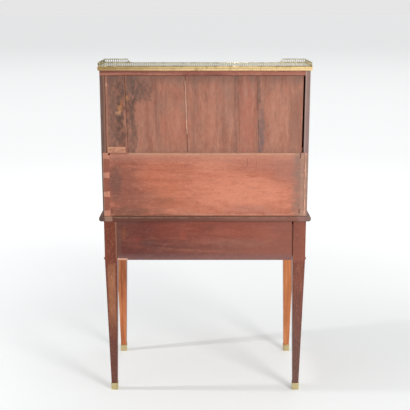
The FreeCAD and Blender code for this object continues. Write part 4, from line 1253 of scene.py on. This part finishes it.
def white_floor():
    """A wide white floor, shadowed under the desk, with painted light that glows for the camera: a pool
    behind the desk and a brightness further out that fades into the pale far end of the room.
    """
    shape = bmesh.new()
    bmesh.ops.create_circle(shape, cap_ends=True, segments=64, radius=FLOOR_REACH)
    finish = Finish("white_floor")
    seen = ("Is Camera Ray", "Is Glossy Ray", "Is Transmission Ray")
    camera, glossy, through = (finish.node("ShaderNodeLightPath", output=ray) for ray in seen)
    direct = camera.math("MAXIMUM", glossy).math("MAXIMUM", through)
    px, py, _ = finish.axes()
    reach = (px * px + py * py).math("SQRT")
    # Painted light seen by the camera: a pool just behind the desk, and a brightness further out that dims
    # towards the far end.
    painted_pool_behind = finish.smooth(0.0 - py, 0.10, 1.20) * finish.fade(reach, 2.0, 6.0)
    far = finish.smooth(reach, 0.7, 3.5) * 0.32 - finish.smooth(reach, 5.0, 34.0) * 0.16
    glow = direct * (0.14 + painted_pool_behind * 0.12 + far)
    tone = finish.join(glow, glow, glow)
    finish.surface(Base_Color=srgb(238, 241, 242), Roughness=0.9, Emission_Color=tone, Emission_Strength=1.0)
    floor = bpy.data.objects.new("floor", mesh_of(shape, "floor"))
    floor.data.materials.append(finish.material)
    bpy.context.scene.collection.objects.link(floor)


def soft_lamp(name, place, target, size, power, colour):
    light = bpy.data.lights.new(name, "AREA")
    light.shape = "DISK"
    light.size = size
    light.energy = power
    light.color = colour
    lamp = bpy.data.objects.new(name, light)
    lamp.visible_camera = False
    aim = Vector(target) - Vector(place)
    lamp.matrix_world = Matrix.Translation(place) @ aim.to_track_quat("-Z", "Y").to_matrix().to_4x4()
    bpy.context.scene.collection.objects.link(lamp)


def studio_world():
    """Soft light from all round, brighter on the side of the window."""
    world = bpy.data.worlds.new("studio")
    world.use_nodes = True
    room = Shading(world.node_tree)
    px, _, _ = room.split(room.node("ShaderNodeTexCoord", output="Generated"))
    level = 0.38 + room.fade(px, -0.25, 0.20) * 0.36
    camera = room.node("ShaderNodeLightPath", output="Is Camera Ray")
    level = level + camera * (0.79 - level)
    light = room.node("ShaderNodeBackground", inputs={"Color": (1.0, 1.0, 1.0, 1.0), "Strength": level})
    room.node("ShaderNodeOutputWorld", inputs={"Surface": light})
    bpy.context.scene.world = world


def build_stage():
    """Floor, light and the camera of the photograph."""
    scene = bpy.context.scene
    scene.view_settings.view_transform = "Standard"
    white_floor()
    studio_world()
    for lamp in LAMPS:
        soft_lamp(*lamp)
    camera = bpy.data.cameras.new("camera")
    camera.lens = CAMERA_LENS
    camera.sensor_width = CAMERA_SENSOR
    eye = bpy.data.objects.new("camera", camera)
    eye.location = (0.0, BACK + CAMERA_AWAY, CAMERA_HEIGHT)
    eye.rotation_euler = (math.pi / 2 - CAMERA_PITCH, 0.0, math.pi)
    scene.collection.objects.link(eye)
    scene.camera = eye


build_stage()
dress_back()
dress_frame()
dress_front()
dress_top()
